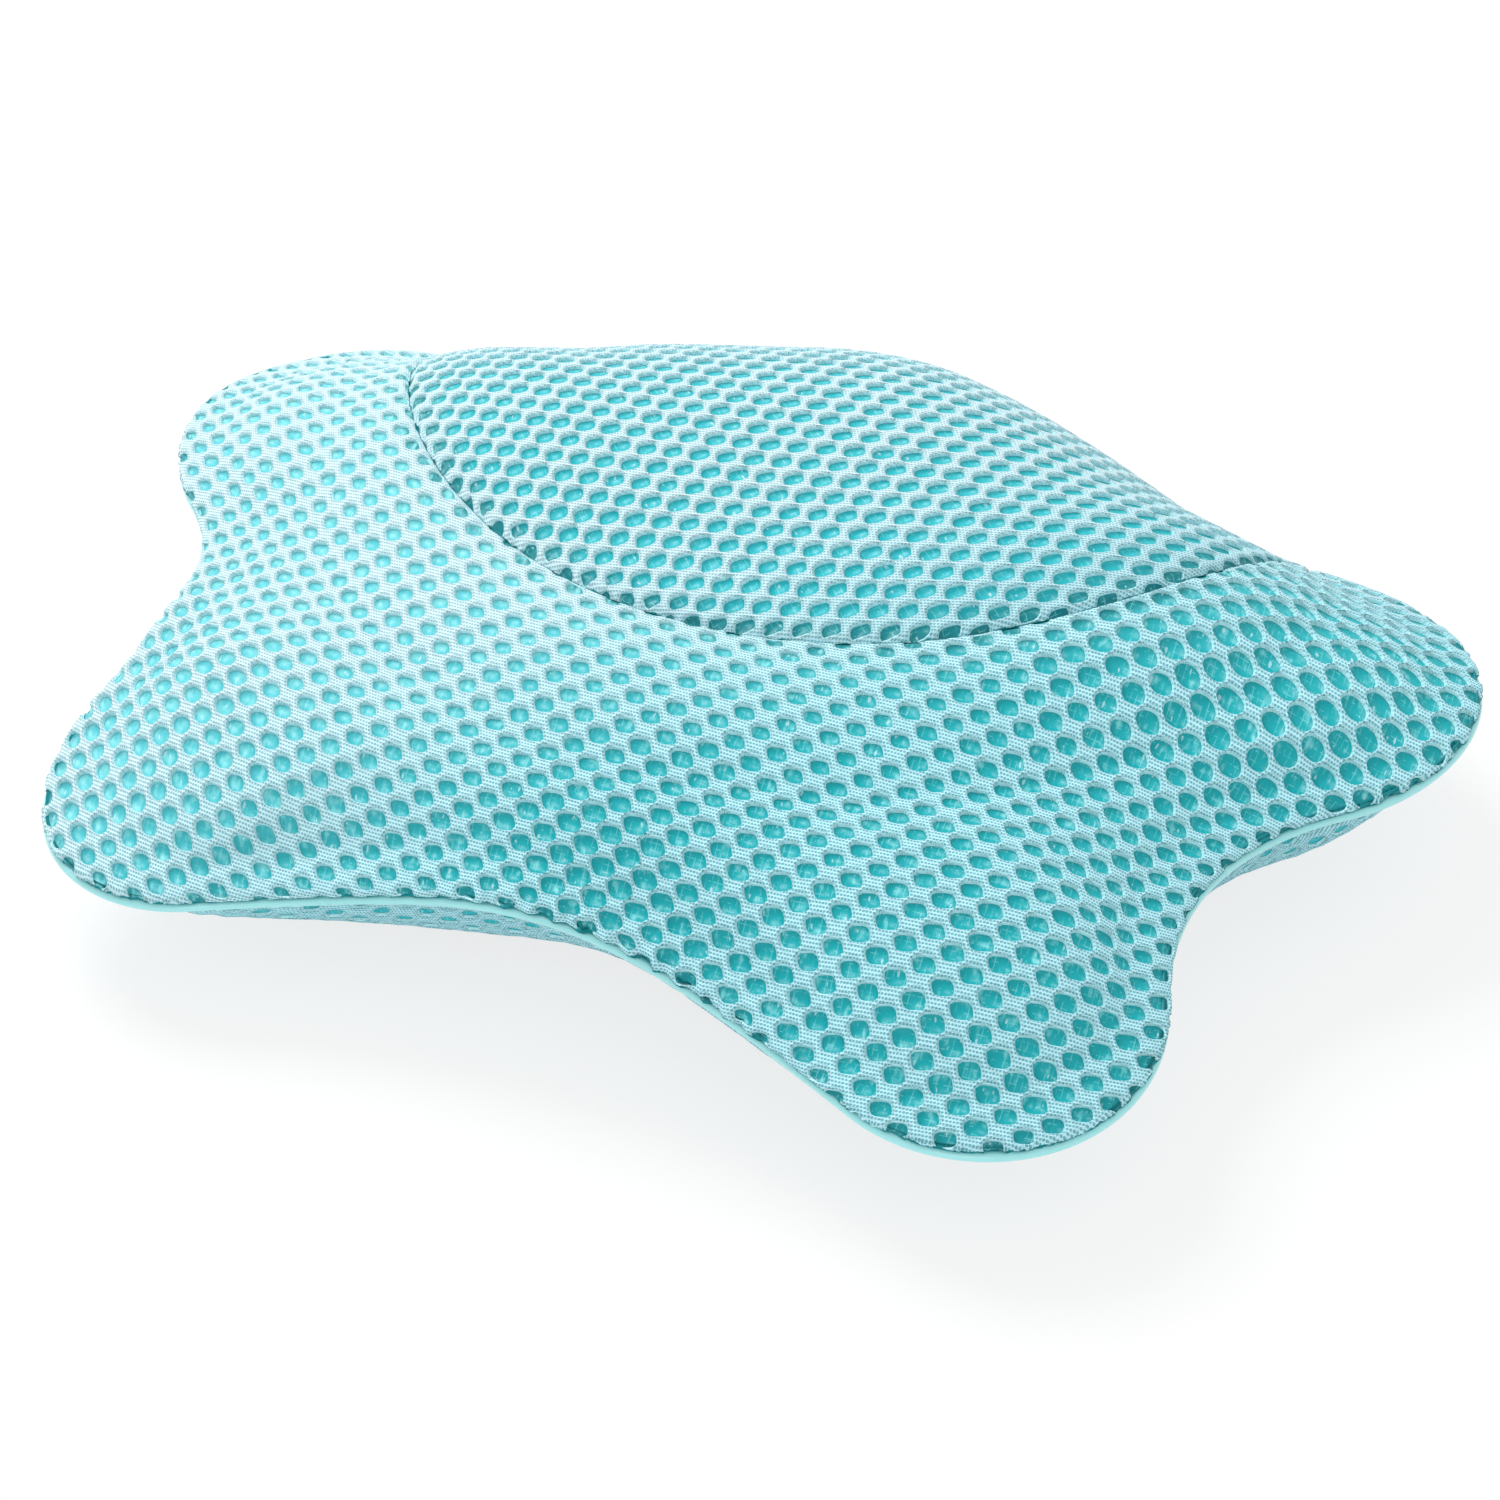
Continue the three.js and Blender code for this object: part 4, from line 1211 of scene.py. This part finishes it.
def cup_profile():
    hollow_r = CUP_R - CUP_LIP_WIDTH
    hollow_top = CUP_HEIGHT - CUP_WALL
    knob_z = under_z + PANEL_THICKNESS + FIT_GAP
    return [
        [0, hollow_top], [CUP_SHOULDER_R - CUP_WALL, hollow_top - CUP_LIP_THICKNESS],
        [(hollow_r + CUP_SHOULDER_R) / 2, hollow_top / 2], [hollow_r, LIP_BEVEL_HEIGHT],
        [hollow_r + LIP_BEVEL_WIDTH, 0],
        [CUP_R, 0], [CUP_R, CUP_LIP_THICKNESS],
        [(CUP_R + CUP_SHOULDER_R) / 2 + CUP_LIP_WIDTH, CUP_HEIGHT / 2],
        [CUP_SHOULDER_R, CUP_HEIGHT - CUP_LIP_THICKNESS], [CUP_SHOULDER_R - CUP_LIP_THICKNESS, CUP_HEIGHT],
        [NECK_R + FIT_GAP, CUP_HEIGHT], [NECK_R, CUP_HEIGHT + FIT_GAP], [NECK_R, knob_z - FIT_GAP],
        [NECK_R + FIT_GAP, knob_z], [KNOB_R, knob_z], [KNOB_R, knob_z + KNOB_HEIGHT],
        [0, knob_z + KNOB_HEIGHT],
    ]


def lifting_tab(centre):
    """A flat tongue with a round end, from the cup's lip away from the middle of the pillow."""
    half = TAB_WIDTH / 2
    turn = np.linspace(-math.pi / 2, math.pi / 2, 17)
    end = np.stack([CUP_R + TAB_LENGTH - half + half * np.cos(turn), half * np.sin(turn)], 1)
    root = np.array([[CUP_R - TAB_ROOT, half], [CUP_R - TAB_ROOT, -half]])
    rim = np.vstack([end, root])
    middle = rim.mean(axis=0)
    low, high = CUP_LIP_THICKNESS, CUP_LIP_THICKNESS + TAB_THICKNESS
    levels = [(0, low), (TAB_FLAT_SHARE, low), (1, low + TAB_EDGE),
              (1, high - TAB_EDGE), (TAB_FLAT_SHARE, high), (0, high)]
    rings = [np.hstack([middle + (rim - middle) * share, np.full((len(rim), 1), z)]) for share, z in levels]
    points = np.stack(rings)
    angle = math.atan2(centre[1] - plan_shift_y, centre[0])
    x = centre[0] + math.cos(angle) * points[..., 0] - math.sin(angle) * points[..., 1]
    y = centre[1] + math.sin(angle) * points[..., 0] + math.cos(angle) * points[..., 1]
    tab = mesh_object("lifting_tab", np.stack([x, y, points[..., 2]], -1),
                      grid_faces(len(levels), len(rim), True))
    weld(tab)
    return tab


def make_cup(place, centre, material):
    cup = spun(f"vinyl_cup_{place}", rounded_profile(cup_profile()), centre, material)
    tab = lifting_tab(centre)
    work = bmesh.new()
    work.from_mesh(cup.data)
    work.from_mesh(tab.data)
    work.to_mesh(cup.data)
    work.free()
    bpy.data.objects.remove(tab)
    return cup


def make_patch(place, centre, material):
    low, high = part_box(f"cup_patch_{place}")
    hole = NECK_R + NECK_CLEARANCE
    profile = [[hole, low.z], [PATCH_R, low.z], [PATCH_R, high.z], [hole, high.z], [hole, low.z]]
    return spun(f"welded_patch_{place}", rounded_profile(profile), centre, material)


# Stage

SHADOW_SHARE = 0.24
FLOOR_REACH = 4
FLOOR_GLOW = 1.02
STUDIO_LIGHT = 0.72
WHITE = (1, 1, 1, 1)


def seen_directly(g):
    """1 on a ray from the camera, or one mirrored or let through by a piece."""
    rays = g.add("ShaderNodeLightPath", out=("Is Camera Ray", "Is Glossy Ray", "Is Transmission Ray"))
    return rays[0].at_least(rays[1]).at_least(rays[2])


def make_stage():
    material, g = new_material("white_floor")
    seen = seen_directly(g)
    diffuse = g.add("ShaderNodeBsdfDiffuse", None, {"Color": (0.9, 0.9, 0.9, 1)})
    white = g.add("ShaderNodeEmission", None, {"Color": WHITE, "Strength": FLOOR_GLOW})
    pale = g.add("ShaderNodeMixShader", None, {0: SHADOW_SHARE, 1: white, 2: diffuse})
    mixed = g.add("ShaderNodeMixShader", None, {0: seen, 1: diffuse, 2: pale})
    g.add("ShaderNodeOutputMaterial", None, {"Surface": mixed})
    corners = [(x * FLOOR_REACH, y * FLOOR_REACH, 0) for x, y in ((-1, -1), (1, -1), (1, 1), (-1, 1))]
    floor = mesh_object("floor", corners, [[0, 1, 2, 3]], material)
    world = bpy.data.worlds.new("studio")
    bpy.context.scene.world = world
    world.use_nodes = True
    world.node_tree.nodes.clear()
    g = Graph(world.node_tree)
    seen = seen_directly(g)
    light = g.add("ShaderNodeBackground", None, {"Color": WHITE, "Strength": STUDIO_LIGHT})
    white = g.add("ShaderNodeBackground", None, {"Color": WHITE, "Strength": 1.0})
    mixed = g.add("ShaderNodeMixShader", None, {0: seen, 1: light, 2: white})
    g.add("ShaderNodeOutputWorld", None, {"Surface": mixed})


def add_facing(name, data, target, azimuth, elevation, distance):
    """Adds a camera or a lamp that looks at its target."""
    a, e = math.radians(azimuth), math.radians(elevation)
    back = Vector((math.sin(a) * math.cos(e), -math.cos(a) * math.cos(e), math.sin(e)))
    made = bpy.data.objects.new(name, data)
    made.location = Vector(target) + back * distance
    made.rotation_mode = "QUATERNION"
    made.rotation_quaternion = (-back).to_track_quat("-Z", "Y")
    bpy.context.scene.collection.objects.link(made)
    return made


def add_area_lamp(name, azimuth, elevation, distance, size, power):
    data = bpy.data.lights.new(name, "AREA")
    data.shape = "DISK"
    data.size = size
    data.energy = power
    add_facing(name, data, (0, 0, 0), azimuth, elevation, distance)


def make_camera():
    data = bpy.data.cameras.new("camera")
    data.sensor_width = SENSOR_WIDTH
    data.lens = CAMERA_PIXELS_PER_RADIAN / PHOTO_SIZE * SENSOR_WIDTH
    bpy.context.scene.camera = add_facing("camera", data, CAMERA_TARGET, CAMERA_AZIMUTH, CAMERA_ELEVATION,
                                          CAMERA_DISTANCE)


def declare(piece, node, body="pillow"):
    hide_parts(node)
    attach(piece, body)


make_camera()
make_stage()
add_area_lamp("key", -122, 50, 2.2, 1.2, 34)
add_area_lamp("low_front", 15, 9, 2, 1, 4)
bpy.context.scene.view_settings.view_transform = "Standard"

# Cover
swelling = simulated_swelling()
body_mesh = spacer_mesh_material("body_spacer_mesh", YARN, DEEP_FLOOR, 1, 0)
head_mesh = spacer_mesh_material("head_spacer_mesh", YARN, HEAD_FLOOR, 0.12, -0.68)
# The underside's yarn is painted a more saturated teal than the top's, as the same fabric looks in shade
# beneath the pillow
under_mesh = spacer_mesh_material("underside_spacer_mesh", UNDERSIDE_SHADE_YARN, HEAD_FLOOR, 0.3, 0)
RINGS_FINE = [(0, 0), (0.5, 0.01), (0.8, 0.06), (0.93, 0.17), (1, 0.34), (1.045, 0.7), (WELL_FLOOR, 1)]
RINGS_PLAIN = [(0, 0), (0.8, 0.1), (1, 0.4), (WELL_FLOOR, 1)]
body_well = well_template("body_well", BODY_WELL, 24, RINGS_FINE)
head_well = well_template("head_well", HEAD_WELL, 24, RINGS_FINE)
under_well = well_template("underside_well", UNDER_WELL, 12, RINGS_PLAIN)
spacer_tree, spacer_inputs = spacer_mesh_tree()


def covered(panel, well, material, name):
    values = {spacer_inputs["Well"]: well, spacer_inputs["Material"]: material}
    return run_tree(panel, spacer_tree, values, name)


body_columns = slice(np.argmax(has_body), OUTLINE_COLUMNS - np.argmax(has_body[::-1]))
head_grid = make_panel("head_grid", head_shares, top_surface, top_lengths, HEAD_LAY, swelling)
body_grid = make_panel("body_grid", body_shares, top_surface, top_lengths, BODY_LAY, swelling, body_columns)
under_grid = make_panel("under_grid", under_shares, under_surface, under_lengths, UNDER_LAY, under=True)
head = covered(head_grid, head_well, head_mesh, "head_mesh_panel")
body = covered(body_grid, body_well, body_mesh, "body_mesh_panel")
under = covered(under_grid, under_well, under_mesh, "underside_mesh_panel")
declare(head, "head_panel")
declare(body, "body_panel")
declare(under, "bottom_panel")
for well in (body_well, head_well, under_well):
    bpy.data.objects.remove(well)


# Filling
def make_filling():
    shares = outer_clustered(CUSHION_RINGS)
    top = top_surface(shares, FILL_INSET)
    below = (PANEL_THICKNESS + FIT_GAP + SWELL_CAP + FILL_EASE) * (1 - shares ** FILL_POWER)
    top = top - outward_of(top, True) * below[..., None]
    low = under_surface(shares, FILL_INSET, under_z + PANEL_THICKNESS + FIT_GAP)
    low = pulled_inside(low, (1 - shares) * rim_reach, UNDER_PULLS, UNDER_PULL_FADE)
    points = np.concatenate([pulled(top, EDGE_PULLS), low[::-1]])
    faces = grid_faces(*points.shape[:2], True)
    piece = mesh_object("fibre_filling", to_row(points), faces, fibre_material())
    weld(piece)
    return piece


declare(make_filling(), "fibre_fill")

# Piping
piping_vinyl = vinyl_material("piping_vinyl", linear(0.64, 0.93, 0.94), 0.2, 0.5)
piping = swept("piping_vinyl_cover", piping_section(), piping_vinyl)
declare(piping, "piping_cover")
cord_material = vinyl_material("piping_core", linear(0.85, 0.94, 0.95), 0.5, 0)
cord = swept("piping_core_cord", cord_section(), cord_material)
declare(cord, "piping_cord")

# Cups
cup_vinyl = cup_material()
patch_vinyl = vinyl_material("patch_vinyl", linear(0.36, 0.76, 0.78), 0.4, 0.1)
for place in ("head", "arm_right", "arm_left", "leg_right", "leg_left"):
    low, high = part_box(f"cup_patch_{place}")
    centre = ((low.x + high.x) / 2, (low.y + high.y) / 2)
    patch = make_patch(place, centre, patch_vinyl)
    declare(patch, f"cup_patch_{place}")
    cup = make_cup(place, centre, cup_vinyl)
    declare(cup, f"suction_cup_{place}", f"cup_{place}")
